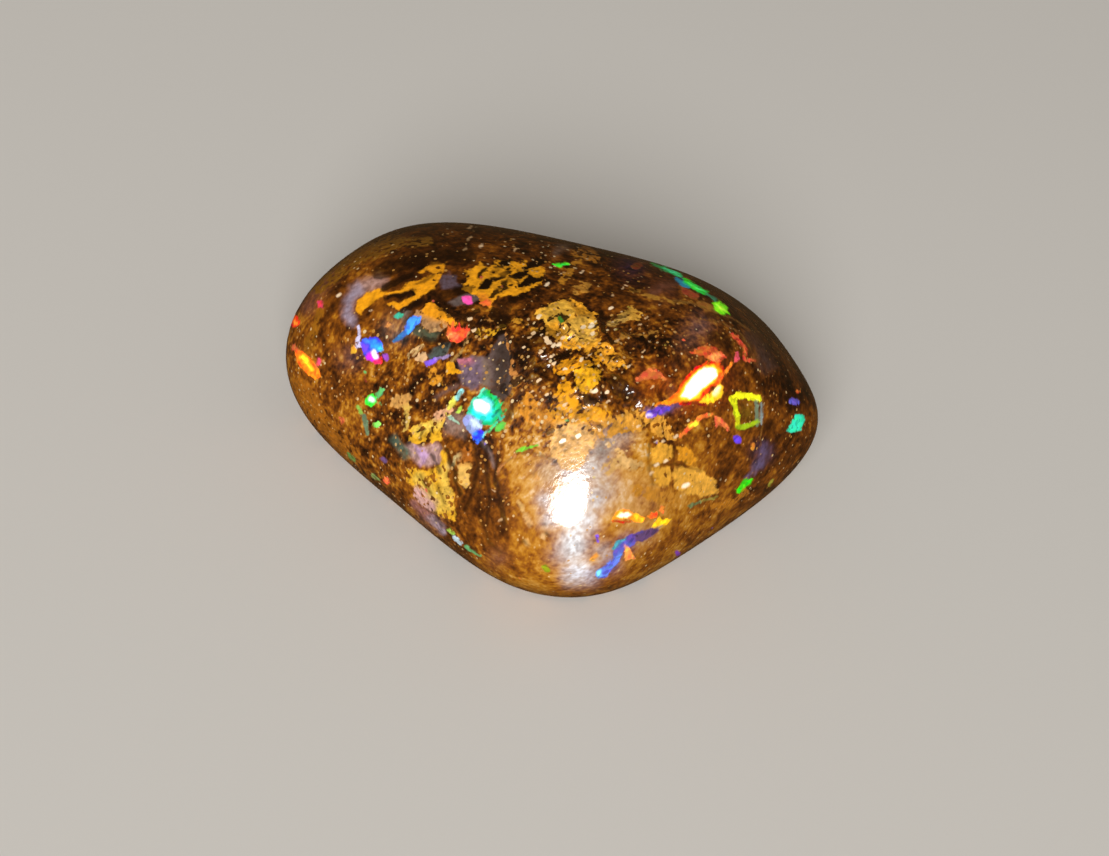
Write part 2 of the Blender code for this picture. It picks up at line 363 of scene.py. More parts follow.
# Milky hazes under the polish, and painted sheen: (colour, opacity, radius, x, y). The pale grey,
# blue-white and pale tan hazes round the nose are painted sheen round the key light's highlight,
# and a painted second highlight at the foot of the nose.
HAZES_AND_PAINTED_SHEEN = [
    # Painted sheen round the highlight on the nose.
    ("#c2b2a6", 0.60, 15, 606, 444), ("#c4c2c4", 0.70, 15, 592, 466),
    ("#beb6b0", 0.55, 17, 606, 488), ("#c6ccda", 0.55, 9, 545, 500),
    ("#c4cad8", 0.50, 11, 570, 472), ("#ccd0dc", 0.55, 9, 549, 520),
    ("#c2b2a6", 0.45, 12, 624, 434), ("#c2b2a0", 0.45, 13, 548, 472),
    ("#dcdee6", 0.75, 12, 587, 520), ("#6c6cb0", 0.55, 10, 611, 563),
    ("#6868a8", 0.45, 10, 628, 541), ("#6c5c88", 0.35, 9, 646, 535),
    ("#d05c10", 0.50, 15, 654, 380), ("#c8500c", 0.50, 15, 688, 398),
    ("#c8500c", 0.35, 18, 712, 378), ("#6a5c10", 0.60, 9, 748, 412),
    ("#b0500c", 0.35, 12, 716, 398), ("#c89a70", 0.35, 22, 634, 500),
    ("#0c4c30", 0.35, 12, 498, 412), ("#6a594e", 0.60, 9, 602, 451),
    # Painted highlight glow under the nose's highlight, down to the painted second highlight at its
    # foot.
    ("#dcd6d2", 0.65, 10, 572, 546), ("#f4f4fa", 0.88, 11, 579, 570),
    ("#e6eaf2", 0.85, 12, 574, 534), ("#e4e8f0", 0.82, 12, 572, 550),
    ("#ccd0d8", 0.65, 12, 594, 500), ("#cfc4c4", 0.50, 8, 568, 578),
    ("#d8d8e4", 0.60, 9, 574, 574), ("#c4c4dc", 0.60, 9, 590, 576),
    ("#b8a8a8", 0.40, 12, 560, 556), ("#c8c4c8", 0.50, 10, 602, 552),
    ("#8a5c5c", 0.55, 10, 324, 272), ("#8a5c5c", 0.50, 9, 316, 288),
    ("#8a5c5c", 0.35, 9, 308, 306), ("#7c5c60", 0.35, 12, 350, 358),
    ("#8a6a6c", 0.45, 12, 700, 326), ("#7a5c54", 0.30, 12, 688, 340),
    ("#5c3a58", 0.45, 8, 674, 404), ("#6c5c88", 0.25, 10, 762, 452),
    ("#a87c70", 0.30, 12, 430, 522), ("#9c9088", 0.25, 14, 396, 330),
    ("#3a2a5c", 0.40, 14, 632, 262), ("#7a5450", 0.35, 10, 498, 558),
    ("#8a4c34", 0.35, 16, 664, 288), ("#8c4a20", 0.30, 26, 706, 360),
]
# Play of colour: (colour, how strongly it glows, width, points). The glow is painted light:
# emission that makes the opal colours shine brighter than the lamps light them.
FLASHES = [
    # thin tan lines, without glow
    ("#dcb478", 0.0, 2.0, [(409, 359), (408, 354), (413, 350), (420, 346)]),
    ("#dcb478", 0.0, 2.0, [(413, 356), (418, 350), (422, 346)]),
    ("#b98a4c", 0.0, 2.0, [(469, 333), (465, 345), (460, 354), (453, 362)]),
    ("#b87c3c", 0.0, (3, 2, 2), [(497, 474), (501, 467), (508, 460), (520, 452)]),
    ("#9c6a2c", 0.0, (1, 2, 1), [(672, 300), (692, 304), (712, 310), (732, 318), (750, 330)]),
    ("#8c5c24", 0.0, (1, 2, 1), [(700, 318), (720, 322), (738, 332), (750, 346), (756, 364)]),
    ("#8c5a20", 0.0, (1, 1.8, 1), [(762, 392), (764, 420), (760, 446)]),
    # left end
    ("#ff3c0c", 0.6, 11, [(294, 320), (294, 322)]),
    ("#ffa030", 0.9, 4.5, [(295, 322), (296, 323)]),
    ("#f0405a", 0.3, None, [(317, 300), (323, 301), (322, 308), (317, 309)]),
    ("#d8603a", 0.2, None, [(291, 345), (295, 343), (301, 352), (299, 356), (293, 350)]),
    ("#ff7a14", 0.8, None, [(294, 348), (302, 351), (311, 360), (318, 369), (322, 377), (314, 379),
     (305, 372), (297, 362)]),
    ("#ffd020", 1.1, 5, [(302, 357), (308, 364), (312, 369)]),
    ("#f05060", 0.25, None, [(316, 358), (321, 358), (321, 365), (317, 367)]),
    ("#d8603a", 0.05, None, [(339, 417), (344, 418), (344, 424), (340, 424)]),
    ("#b04038", 0.0, 3, [(365, 377), (366, 382)]),
    # blue disc with its magenta foot
    ("#4048f0", 0.7, None, [(360, 344), (363, 339), (371, 337), (378, 338), (382, 344), (382, 350),
     (376, 354), (370, 357), (363, 355)]),
    ("#2f80ff", 0.9, None, [(368, 340), (376, 338), (382, 344), (382, 350), (376, 352),
     (369, 348)]),
    ("#3fc0ff", 1.0, 4, [(380, 349), (382, 350)]),
    ("#d02ae0", 0.9, None, [(365, 355), (370, 352), (379, 353), (380, 360), (372, 362),
     (367, 360)]),
    ("#ff2a5a", 0.8, None, [(372, 360), (381, 357), (382, 363), (375, 365)]),
    ("#ffffff", 1.8, 6, [(374, 353), (376, 356)]),
    ("#9a48c0", 0.25, 5, [(385, 356), (387, 358)]),
    ("#c8c0e0", 0.35, (2, 4), [(358, 325), (359, 335), (358, 346)]),
    ("#f0b030", 0.35, None, [(350, 347), (352, 344), (356, 349), (355, 354), (350, 354)]),
    # blue streak and its neighbours
    ("#3f8eff", 0.85, None, [(407, 320), (414, 316), (421, 316), (419, 323), (412, 330),
     (408, 336), (402, 337), (404, 330), (406, 326)]),
    ("#3c7cc0", 0.3, (7, 3), [(404, 334), (398, 339), (394, 342)]),
    ("#40b898", 0.4, None, [(393, 317), (399, 312), (404, 314), (402, 318), (397, 319)]),
    ("#e88a50", 0.2, None, [(385, 327), (388, 323), (391, 325), (388, 328)]),
    ("#f050a8", 0.5, None, [(461, 298), (466, 296), (471, 297), (473, 304), (468, 305),
     (463, 303)]),
    ("#f06a30", 0.3, None, [(480, 303), (486, 299), (492, 301), (490, 305), (484, 306)]),
    # orange flash with fingers
    ("#f0602c", 0.5, None, [(446, 332), (449, 327), (451, 330), (453, 323), (456, 329), (458, 325),
     (461, 330), (464, 326), (466, 331), (469, 329), (467, 338), (460, 343), (450, 342)]),
    ("#f0602c", 0.5, (0.5, 3), [(448, 323), (450, 333)]),
    ("#f0602c", 0.5, (0.5, 3), [(454, 321), (455, 332)]),
    ("#f0602c", 0.5, (0.5, 3), [(460, 322), (460, 332)]),
    ("#f0602c", 0.5, (0.5, 3), [(467, 324), (465, 333)]),
    ("#ff8c50", 0.7, None, [(446, 334), (452, 332), (460, 334), (458, 340), (449, 340)]),
    ("#8a5cf0", 0.6, None, [(424, 362), (431, 359), (438, 357), (440, 360), (433, 364),
     (426, 366)]),
    ("#9880b0", 0.2, (4, 2), [(437, 359), (450, 356)]),
    ("#c07080", 0.1, 5, [(460, 362), (467, 360)]),
    # green dots of the left
    ("#30e83c", 0.7, None, [(365, 399), (368, 395), (374, 394), (377, 398), (376, 403), (371, 407),
     (366, 404)]),
    ("#68c878", 0.35, None, [(376, 394), (380, 388), (384, 389), (383, 395), (378, 399)]),
    ("#f4fff4", 1.7, 6, [(371, 399), (372, 400)]),
    ("#98c850", 0.15, 4.5, [(358, 407), (361, 412)]),
    ("#78906c", 0.03, (6, 4), [(364, 416), (366, 424), (367, 433)]),
    ("#90f060", 0.55, None, [(374, 422), (378, 421), (381, 425), (377, 427), (374, 426)]),
    ("#e0dc50", 0.5, None, [(446, 407), (449, 402), (454, 397), (457, 399), (453, 406),
     (449, 410)]),
    ("#90dcd8", 0.4, (5, 3), [(456, 399), (462, 391)]),
    ("#a8d048", 0.35, None, [(456, 412), (458, 407), (462, 404), (462, 409), (458, 413)]),
    # big green and cyan flash
    ("#12b878", 0.5, None, [(470, 406), (476, 399), (480, 393), (487, 389), (490, 394), (496, 397),
     (499, 404), (502, 413), (498, 420), (492, 424), (484, 426), (476, 422), (470, 418),
     (466, 412)]),
    ("#8c9cd0", 0.35, None, [(463, 418), (468, 412), (476, 416), (482, 420), (480, 430),
     (474, 437), (466, 430)]),
    ("#1ccfc8", 0.8, None, [(470, 410), (476, 401), (484, 395), (493, 402), (497, 413), (490, 422),
     (482, 421), (474, 418)]),
    ("#14b030", 0.6, None, [(485, 391), (489, 390), (492, 396), (498, 400), (496, 405),
     (489, 399)]),
    ("#18b040", 0.5, (1, 3), [(499, 397), (493, 406)]),
    ("#20c068", 0.5, (1, 3), [(503, 402), (494, 412)]),
    ("#18b040", 0.5, (1, 3), [(505, 409), (496, 419)]),
    ("#2cc8a0", 0.4, (1, 3), [(504, 416), (494, 426)]),
    ("#60e0c0", 0.6, (3, 1), [(474, 402), (484, 389)]),
    ("#40c8a0", 0.5, (3, 1), [(469, 409), (477, 396)]),
    ("#6fd8c8", 0.3, (1, 2), [(489, 430), (480, 440)]),
    ("#58d070", 0.4, (1, 2.5), [(496, 422), (489, 432)]),
    ("#0c3028", 0.0, (1, 2), [(496, 398), (488, 408)]),
    ("#0c3028", 0.0, (1, 2), [(500, 407), (492, 417)]),
    ("#7ff0e8", 1.1, None, [(473, 408), (478, 400), (486, 397), (492, 404), (492, 412), (485, 416),
     (477, 413)]),
    ("#ffffff", 1.8, 11, [(479, 405), (484, 408)]),
    ("#b8ccf4", 0.6, 7, [(473, 422), (478, 427)]),
    ("#2c50f0", 0.7, None, [(471, 433), (478, 430), (484, 433), (482, 441), (477, 444),
     (473, 440)]),
    ("#a8d0b8", 0.25, (2, 4), [(458, 424), (450, 417)]),
    ("#6ccc4c", 0.5, None, [(494, 432), (496, 426), (502, 421), (506, 422), (504, 429),
     (498, 432)]),
    ("#2cc8a0", 0.6, 4, [(498, 416), (500, 420)]),
    ("#6cc42c", 0.35, (2.4, 4, 3, 1), [(517, 453), (522, 450), (529, 448), (538, 445)]),
    ("#48e02c", 0.9, (1.2, 2.6, 1.4), [(553, 264), (561, 265), (569, 264)]),
    ("#4c8c2c", 0.1, 4, [(559, 319), (561, 322)]),
    # left front edge
    ("#6c9a4a", 0.05, 2.5, [(348, 454), (354, 460)]),
    ("#98b060", 0.1, 3, [(373, 475), (378, 480)]),
    ("#ff7040", 0.4, None, [(383, 477), (388, 477), (390, 482), (386, 484), (382, 481)]),
    ("#a8d050", 0.3, 3, [(449, 530), (454, 534)]),
    ("#c4dce8", 0.3, 3.5, [(455, 538), (461, 544)]),
    ("#6cb06c", 0.25, (4, 2), [(467, 547), (479, 556)]),
    ("#7a5a90", 0.05, 5, [(383, 459), (385, 461)]),
    # back edge
    ("#0f9c50", 0.6, (3, 5), [(652, 263), (662, 268)]),
    ("#14b868", 0.9, (5, 4), [(664, 268), (672, 272), (681, 276)]),
    ("#1c86a4", 0.6, (5, 7), [(677, 280), (688, 285)]),
    ("#14c83c", 1.1, (6, 5), [(686, 281), (697, 288), (706, 293)]),
    ("#3c9c70", 0.4, 3, [(707, 294), (716, 300)]),
    ("#48f0a8", 1.3, (1, 2, 1), [(665, 268), (672, 271), (680, 275)]),
    ("#58f068", 1.4, (1, 2.4, 1), [(689, 283), (696, 287), (704, 291)]),
    ("#7cec14", 1.0, None, [(712, 303), (719, 300), (727, 307), (729, 314), (720, 314),
     (714, 310)]),
    ("#ccff48", 1.4, (1, 3, 1), [(715, 304), (720, 307), (725, 311)]),
    ("#c08030", 0.05, 7, [(700, 304), (710, 308)]),
    ("#c05830", 0.08, 6, [(684, 291), (695, 296)]),
    ("#9a4c28", 0.0, 5, [(634, 267), (640, 266)]),
    # fire flash
    ("#e07038", 0.28, None, [(633, 384), (638, 376), (646, 370), (655, 368), (662, 374),
     (667, 380), (656, 380), (644, 381)]),
    ("#e0622c", 0.2, None, [(690, 352), (698, 347), (708, 344), (718, 350), (726, 356), (718, 364),
     (708, 358), (698, 354)]),
    ("#ff9050", 0.6, None, [(708, 356), (716, 352), (724, 354), (718, 361), (712, 362)]),
    ("#a81c10", 0.2, 5, [(712, 364), (722, 368)]),
    ("#f04c0c", 0.45, None, [(674, 398), (679, 388), (686, 376), (696, 366), (708, 361),
     (720, 363), (726, 372), (721, 382), (711, 389), (702, 399), (690, 405), (680, 404)]),
    ("#ff8a14", 0.6, (3, 10), [(657, 405), (670, 401), (682, 395)]),
    ("#ffc41a", 1.1, None, [(678, 397), (683, 386), (691, 375), (701, 367), (713, 364), (722, 370),
     (717, 380), (706, 390), (696, 400), (685, 402)]),
    ("#fffdea", 2.4, None, [(681, 396), (686, 386), (694, 375), (705, 367), (717, 369), (718, 376),
     (710, 383), (700, 392), (691, 399)]),
    ("#ff8424", 0.7, (4, 2.5), [(718, 380), (726, 372), (732, 362)]),
    ("#e85a34", 0.4, (4, 3), [(732, 335), (737, 338), (742, 345), (746, 350), (745, 359)]),
    ("#f05a58", 0.35, None, [(735, 352), (740, 353), (739, 360), (735, 361)]),
    ("#f06a3c", 0.3, (4, 2), [(747, 360), (755, 361)]),
    ("#ffc01e", 1.0, None, [(699, 402), (706, 395), (714, 391), (719, 382), (724, 387), (720, 398),
     (708, 404)]),
    ("#fff4b0", 1.5, 4.5, [(714, 394), (719, 387)]),
    ("#981c10", 0.15, (4, 3), [(684, 403), (694, 403), (706, 405)]),
    ("#6c44c8", 0.3, (8, 5), [(650, 414), (658, 411), (668, 408)]),
    ("#e8d0f8", 1.0, 4, [(648, 415), (650, 415)]),
    ("#ff7430", 0.5, (3, 5), [(681, 437), (686, 430), (693, 424)]),
    ("#ffdc30", 1.0, (4, 5), [(690, 426), (697, 422)]),
    ("#f88030", 0.5, (5, 4), [(698, 420), (705, 416), (712, 414)]),
    ("#f07840", 0.3, None, [(715, 415), (722, 419), (730, 428), (728, 431), (720, 425), (716, 430),
     (715, 422)]),
    # square ring
    ("#e8e414", 1.0, 7, [(732, 399), (739, 396), (748, 396), (758, 399)]),
    ("#c8d010", 0.65, (7, 5), [(733, 400), (736, 410), (738, 418), (738, 425)]),
    ("#7c8c70", 0.15, 4.5, [(757, 402), (757, 412), (757, 425)]),
    ("#90a0a0", 0.1, 2.5, [(762, 404), (762, 424)]),
    ("#98b410", 0.5, 5, [(738, 427), (748, 426), (757, 422)]),
    ("#6a3ce0", 0.6, 7, [(736, 438), (738, 440)]),
    ("#6a5cd0", 0.45, 6.5, [(792, 401), (796, 402)]),
    ("#ff7830", 0.3, 3, [(797, 391), (798, 392)]),
    ("#28d8ac", 0.65, None, [(795, 413), (805, 414), (805, 422), (801, 430), (792, 433),
     (786, 431), (791, 422)]),
    ("#e8902c", 0.1, 4, [(753, 445), (753, 448)]),
    ("#48e010", 0.65, None, [(735, 491), (738, 485), (745, 479), (753, 477), (751, 483),
     (744, 488), (740, 493)]),
    ("#b8b43c", 0.1, 2, [(769, 486), (772, 480)]),
    # lower right and nose
    ("#ff9418", 0.8, None, [(612, 520), (615, 513), (623, 509), (630, 510), (636, 514), (645, 519),
     (643, 523), (635, 521), (628, 519), (620, 519)]),
    ("#fffad0", 2.0, None, [(616, 517), (620, 512), (628, 511), (633, 515), (628, 518),
     (621, 517)]),
    ("#d84c10", 0.2, 2.5, [(614, 521), (622, 522), (630, 521)]),
    ("#ffc81c", 1.0, 4, [(635, 515), (642, 520)]),
    ("#ff6a1c", 0.5, None, [(646, 517), (650, 513), (657, 512), (656, 517), (650, 519)]),
    ("#ff8834", 0.4, None, [(658, 511), (661, 505), (665, 506), (663, 513)]),
    ("#ffc414", 1.0, None, [(651, 528), (655, 522), (659, 516), (663, 519), (672, 519), (668, 524),
     (660, 529)]),
    ("#5f78e0", 0.55, None, [(596, 572), (602, 568), (609, 562), (615, 556), (620, 549),
     (622, 554), (619, 562), (612, 570), (604, 578), (597, 578)]),
    ("#7ce8f4", 1.0, None, [(596, 572), (601, 570), (602, 575), (598, 577)]),
    ("#5a5cc4", 0.3, (7, 9), [(616, 554), (623, 545), (632, 540)]),
    ("#4ca4b4", 0.3, (3, 4, 3), [(613, 549), (618, 543), (627, 538)]),
    ("#5c48a8", 0.25, (8, 10), [(629, 539), (641, 536)]),
    ("#684878", 0.08, (10, 7, 2), [(640, 537), (650, 533), (662, 526)]),
    ("#ffa04a", 0.7, None, [(624, 545), (628, 546), (633, 554), (636, 560), (624, 560)]),
    ("#7c50d8", 0.5, 3.5, [(597, 536), (598, 541)]),
    ("#8c40c0", 0.4, 4, [(677, 552), (678, 554)]),
    ("#f0a040", 0.2, 4, [(592, 560), (596, 556)]),
    ("#98a010", 0.3, 7, [(545, 567), (547, 569)]),
    ("#7c8c58", 0.03, (4, 3), [(690, 506), (700, 502)]),
    ("#a89840", 0.05, 2.5, [(702, 501), (718, 497)]),
]
# Dark pits, cracks and brown gaps: (strength, width, points).
DARKS = [
    (1.0, (3, 8, 3), [(498, 267), (505, 264), (512, 261)]),
    (1.0, (3, 9, 4), [(524, 270), (533, 266), (545, 261)]),
    (1.0, (5, 8, 4), [(500, 280), (504, 276), (508, 271)]),
    (1.0, (3, 9, 5), [(510, 279), (518, 276), (526, 274)]),
    (1.0, (3, 9, 4), [(519, 286), (530, 281), (541, 277)]),
    (0.95, (3, 6, 3), [(481, 278), (484, 273), (488, 268)]),
    (1.0, (3, 8, 3), [(478, 289), (487, 284), (496, 280)]),
    (0.95, (3, 7, 3), [(461, 294), (467, 291), (474, 287)]),
    (0.95, (2, 6, 2), [(502, 290), (506, 286), (511, 281)]),
    (0.95, (2, 6, 2), [(489, 297), (495, 292), (501, 288)]),
    (0.8, (2, 4, 2), [(491, 274), (495, 272), (499, 270)]),
    (0.8, 7, [(512, 300), (522, 298)]),
    (0.95, None, [(550, 320), (555, 314), (561, 312), (567, 316), (566, 322), (560, 324),
     (556, 319)]),
    (0.95, 6, [(554, 358), (562, 355), (568, 353)]),
    (0.7, None, [(513, 340), (520, 336), (530, 344), (534, 352), (530, 362), (536, 372),
     (530, 380), (522, 372), (516, 358)]),
    (0.65, None, [(524, 338), (534, 330), (546, 324), (556, 330), (564, 334), (554, 340),
     (544, 344), (534, 346)]),
    (0.9, (7, 4), [(600, 312), (604, 328), (612, 342)]),
    (0.8, 4, [(603, 319), (616, 317), (626, 316)]),
    (0.9, 6, [(515, 381), (524, 378), (532, 380)]),
    (0.9, None, [(490, 316), (496, 308), (506, 308), (510, 316), (506, 326), (498, 328),
     (492, 322)]),
    (0.9, 5, [(472, 326), (480, 322), (488, 324)]),
    (0.75, None, [(606, 378), (614, 374), (624, 380), (634, 394), (630, 402), (618, 396),
     (610, 388)]),
    (0.85, None, [(578, 392), (586, 394), (596, 398), (604, 404), (594, 406), (584, 404)]),
    (0.6, None, [(534, 366), (544, 362), (552, 368), (548, 380), (540, 386), (532, 378)]),
    (0.75, 14, [(380, 272), (404, 262), (436, 256), (470, 256)]),
    (0.9, 8, [(384, 286), (396, 282), (412, 275)]),
    (0.95, (2, 6, 2), [(386, 298), (400, 296), (416, 291)]),
    (0.9, (2, 7, 3), [(398, 313), (412, 306), (424, 301)]),
    (0.7, (1, 4, 1), [(414, 285), (424, 281), (434, 275)]),
    (0.85, 5, [(440, 308), (450, 314), (464, 316), (478, 312)]),
    (0.7, 10, [(444, 294), (456, 291), (466, 290)]),
    (0.4, 2, [(522, 453), (532, 452), (544, 456), (554, 460)]),
    (0.75, (3, 7), [(499, 452), (496, 474), (500, 500), (503, 522)]),
    (0.7, (5, 3), [(486, 446), (486, 470), (490, 496), (486, 526)]),
    (0.7, (3, 4), [(475, 448), (478, 466), (474, 486), (466, 510)]),
    (0.6, (3, 2), [(480, 486), (478, 510), (488, 542), (502, 552)]),
    (0.75, 3, [(421, 476), (426, 484), (431, 494)]),
    (0.75, 3, [(431, 454), (436, 462), (440, 472)]),
    (0.7, 3, [(438, 486), (441, 496), (444, 504)]),
    (0.7, 2.5, [(420, 438), (424, 430)]),
    (0.7, 2.5, [(430, 436), (433, 428)]),
    (0.6, 4, [(506, 420), (512, 404), (520, 392)]),
    (0.55, 2.5, [(650, 444), (649, 464), (654, 484)]),
    (0.55, 2.5, [(673, 444), (674, 464), (690, 468), (700, 470)]),
    (0.55, 2.5, [(652, 465), (672, 464)]),
    (0.7, 6, [(434, 292), (440, 300), (446, 306)]),
    (0.8, 4, [(447, 450), (450, 458), (454, 470)]),
    (0.8, 4, [(455, 470), (456, 484), (460, 494)]),
    (0.8, 5, [(462, 316), (472, 322), (478, 334)]),
    (0.7, 6, [(424, 340), (436, 340), (446, 346)]),
    (0.6, (5, 1), [(706, 316), (724, 314), (746, 322), (764, 338)]),
    (0.5, 1.6, [(750, 340), (757, 370), (764, 394)]),
    (0.5, 1.6, [(766, 424), (770, 444), (766, 462), (756, 478)]),
    (0.6, 10, [(728, 346), (722, 340), (714, 338)]),
    (0.5, (6, 2), [(770, 420), (773, 430)]),
]
# Soft areas of the brown matrix: (tone, radius, x, y). Tone 0 is the darkest brown, and 1 is the
# palest tan. They are partly the matrix's own paler and darker areas, and partly painted shade: the
# dark areas along the far top edge and at the right end stand for shade where the light falls away.
TONES_AND_PAINTED_SHADE = [
    # Painted shade along the far top edge: the first three areas of the next line.
    (0.24, 50, 450, 244), (0.24, 50, 520, 245), (0.20, 40, 600, 262), (0.44, 32, 340, 268),
    (0.46, 20, 310, 300), (0.48, 22, 306, 372), (0.43, 24, 330, 420), (0.38, 40, 350, 330),
    (0.34, 40, 400, 360), (0.38, 30, 400, 400), (0.34, 30, 400, 470), (0.34, 26, 380, 450),
    (0.38, 30, 440, 370), (0.26, 16, 488, 456), (0.28, 16, 492, 490), (0.30, 15, 494, 520),
    (0.34, 18, 474, 540), (0.24, 30, 480, 310), (0.28, 26, 526, 356), (0.30, 30, 620, 300),
    (0.30, 34, 660, 320), (0.34, 30, 640, 360), (0.30, 30, 700, 310), (0.22, 26, 746, 320),
    # Painted shade at the right end: the second and third areas of the next line.
    (0.36, 30, 740, 370), (0.14, 24, 790, 350), (0.20, 24, 792, 380), (0.44, 30, 700, 420),
    (0.44, 30, 710, 450), (0.32, 28, 774, 440), (0.44, 26, 740, 480), (0.50, 26, 700, 510),
    (0.66, 28, 640, 480), (0.66, 26, 620, 450), (0.66, 30, 600, 500), (0.64, 24, 536, 480),
    (0.58, 20, 524, 452), (0.62, 22, 528, 520), (0.60, 26, 560, 570), (0.54, 24, 520, 560),
    (0.52, 24, 600, 590), (0.56, 26, 650, 550), (0.50, 26, 540, 410), (0.44, 22, 520, 400),
    (0.50, 24, 590, 400), (0.30, 26, 636, 404), (0.64, 20, 540, 500), (0.40, 16, 660, 378),
]
TONE_ELSEWHERE = 0.46
# How strongly the matrix's grains differ in tone: (contrast, radius, x, y).
CONTRASTS = [
    (1.0, 30, 506, 278), (0.8, 26, 430, 470), (1.0, 60, 330, 300), (0.7, 60, 460, 235),
    (1.0, 40, 320, 400), (1.5, 50, 400, 360), (1.4, 40, 400, 440), (2.1, 50, 500, 320),
    (2.0, 50, 570, 350), (2.0, 40, 540, 400), (2.1, 50, 640, 320), (1.6, 40, 700, 320),
    (1.5, 50, 640, 400), (0.9, 50, 740, 380), (0.8, 40, 790, 380), (0.8, 40, 740, 470),
    (0.65, 40, 640, 480), (0.6, 40, 590, 520), (0.7, 40, 530, 510), (0.7, 40, 540, 560),
    (1.1, 26, 486, 500), (0.8, 60, 640, 260),
]
CONTRAST_ELSEWHERE = 1.4
# Painted glints: pale specks, glowing a little, that stand for light glinting off sand grains:
# (x, y, width).
PAINTED_GLINTS = [
    (562, 441, 7), (578, 436, 6), (606, 444, 3), (657, 465, 4), (666, 461, 4), (652, 473, 3),
    (686, 486, 6), (371, 310, 3), (339, 295, 4), (539, 317, 4), (583, 327, 4), (592, 326, 5),
    (593, 334, 4), (549, 342, 4), (553, 345, 4), (559, 345, 4), (524, 336, 2), (534, 333, 3),
    (542, 334, 3), (524, 348, 3), (541, 352, 3), (552, 355, 3), (543, 357, 3), (555, 363, 3),
    (564, 369, 4), (582, 359, 4), (611, 308, 4), (595, 391, 5), (607, 392, 4), (609, 401, 3),
    (629, 366, 3), (500, 343, 3), (470, 227, 2), (481, 246, 3), (470, 238, 1.5), (465, 249, 1.5),
    (542, 229, 2), (515, 249, 2), (547, 284, 4), (582, 272, 3), (590, 354, 3), (547, 340, 3),
    (531, 392, 2), (500, 520, 2), (524, 478, 2), (532, 492, 3), (638, 426, 3), (652, 388, 2),
    (676, 436, 3), (656, 442, 3), (663, 441, 3), (686, 382, 2), (618, 466, 2), (474, 330, 3),
    (480, 321, 3), (470, 318, 3), (546, 338, 3), (562, 338, 3), (558, 334, 2), (530, 338, 2),
    (574, 336, 2), (588, 344, 2), (604, 360, 2), (618, 340, 2), (630, 330, 2), (640, 324, 2),
    (650, 340, 2), (644, 352, 2), (612, 296, 2), (622, 288, 2), (660, 304, 2), (646, 318, 2),
    (577, 420, 3), (566, 404, 3), (548, 396, 3), (540, 380, 3), (600, 430, 2),
]

# Markings at random: (layer, whether on the side that the sheet shows, count, sizes, amount,
# colours). On the other side they lie in clusters. Elevations are in degrees. The white ones are
# painted glints.
SCATTERED = [
    ("potch", False, 16, (12, 30), 5.0, ("#6e5a56", "#7a6478", "#4c5650", "#96786a", "#a092a6")),
    ("ochre", False, 42, (7, 24), 0.7, ("#dd9412", "#c88628", "#e2a430", "#a8640e", "#cf9a48")),
    ("dark", False, 40, (2, 8), 0.8, ("#000000",)),
    ("flash", False, 44, (2, 8), 0.5,
     ("#ff5a10", "#ffc81c", "#12c088", "#3f8eff", "#30e83c", "#6a3ce0")),
    ("flash", False, 30, (1, 2), 0.15, ("#ff8450", "#58c860", "#8a6cd0", "#e0a040")),
    ("grain", False, 30, (0.8, 1.6), 0.4, ("#ffffff",)),
    ("flash", True, 34, (0.8, 1.6), 0.05, ("#ff7440", "#d8604a", "#6cb060", "#8a6cc8", "#c8b040")),
    ("grain", True, 20, (0.7, 1.2), 0.3, ("#ffffff",)),
    ("dark", True, 50, (1.5, 4), 0.7, ("#000000",)),
]
SCATTER_SEED = 7
SCATTER_ELEVATIONS = (-50, 75)
SCATTER_TILT = (-0.6, 0.6)
SCATTER_STRETCH = (1.0, 2.6)
CLUSTERS = 9
CLUSTER_ELEVATIONS = (-30, 50)
CLUSTER_SPREAD = 0.17
# The stone counts as seen where it faces the camera with at least the first cosine, and as unseen
# under the second.
SEEN_LIMIT = 0.12
UNSEEN_LIMIT = -0.12

# The outline of a marking at random: at least so many corners, one more for each step of its size
# in picture points, and how far each strays along the outline and from it.
LEAST_CORNERS = 6
CORNER_STEP = 3
CORNER_STRAY = (-0.3, 0.3)
CORNER_REACH = (0.5, 1.0)

# ---- how the markings lie on the stone --------------------------------------------------------

# What each layer of markings keeps on the stone's points. Potch has no clear edge, so no cover. The
# hazes lie on the potch layer too, and with them the painted sheen round the nose's highlight.
LAYERS = {
    "ochre": ("cover", "amount", "colour"),
    "potch": ("amount", "colour"),
    "flash": ("cover", "amount", "colour"),
    "dark": ("cover", "amount"),
    "grain": ("cover", "amount"),
}
# The cover, in millimetres, of a point that no marking came near, and the least that one leaves.
UNTOUCHED = -1.0
LEAST_COVER = -0.999
# How far outside a marking its cover is still worked out, in picture points.
MARKING_REACH = 11.0
# The sheet's markings reach the points that face the camera with at least this cosine.
DRAWN_LIMIT = 0.02
POTCH_OPACITY = 0.85
FAINTEST_HAZE = 0.01
# A slow wander and a ragged one move every edge: size in millimetres, shift in picture points, and
# two seeds. A loose edge and a tight one take these shares of them.
EDGE_SHIFTS = ((0.9, 5.0, (3, 4)), (0.3, 3.0, (5, 6)))
LOOSE_SHARES = (0.6, 0.8)
TIGHT_SHARES = (0.2, 0.45)
# Strokes under this width have a tight edge, as all flashes and painted glints do.
FINE_WIDTH = 6
# A painted glint is drawn narrower than its width says, and leans a little, as the bedding does.
# One that is wide enough glints in full.
GLINT_WIDTH_SHARE = 0.7
GLINT_HALF_LENGTH = (1.2, -0.7)
FULL_GLINT_WIDTH = 7.5
# How far a marking's colour runs past its edge, and over how much it comes in, in picture points.
FLASH_SPREAD = (1.0, 3.0)
MATRIX_SPREAD = (6.0, 6.0)
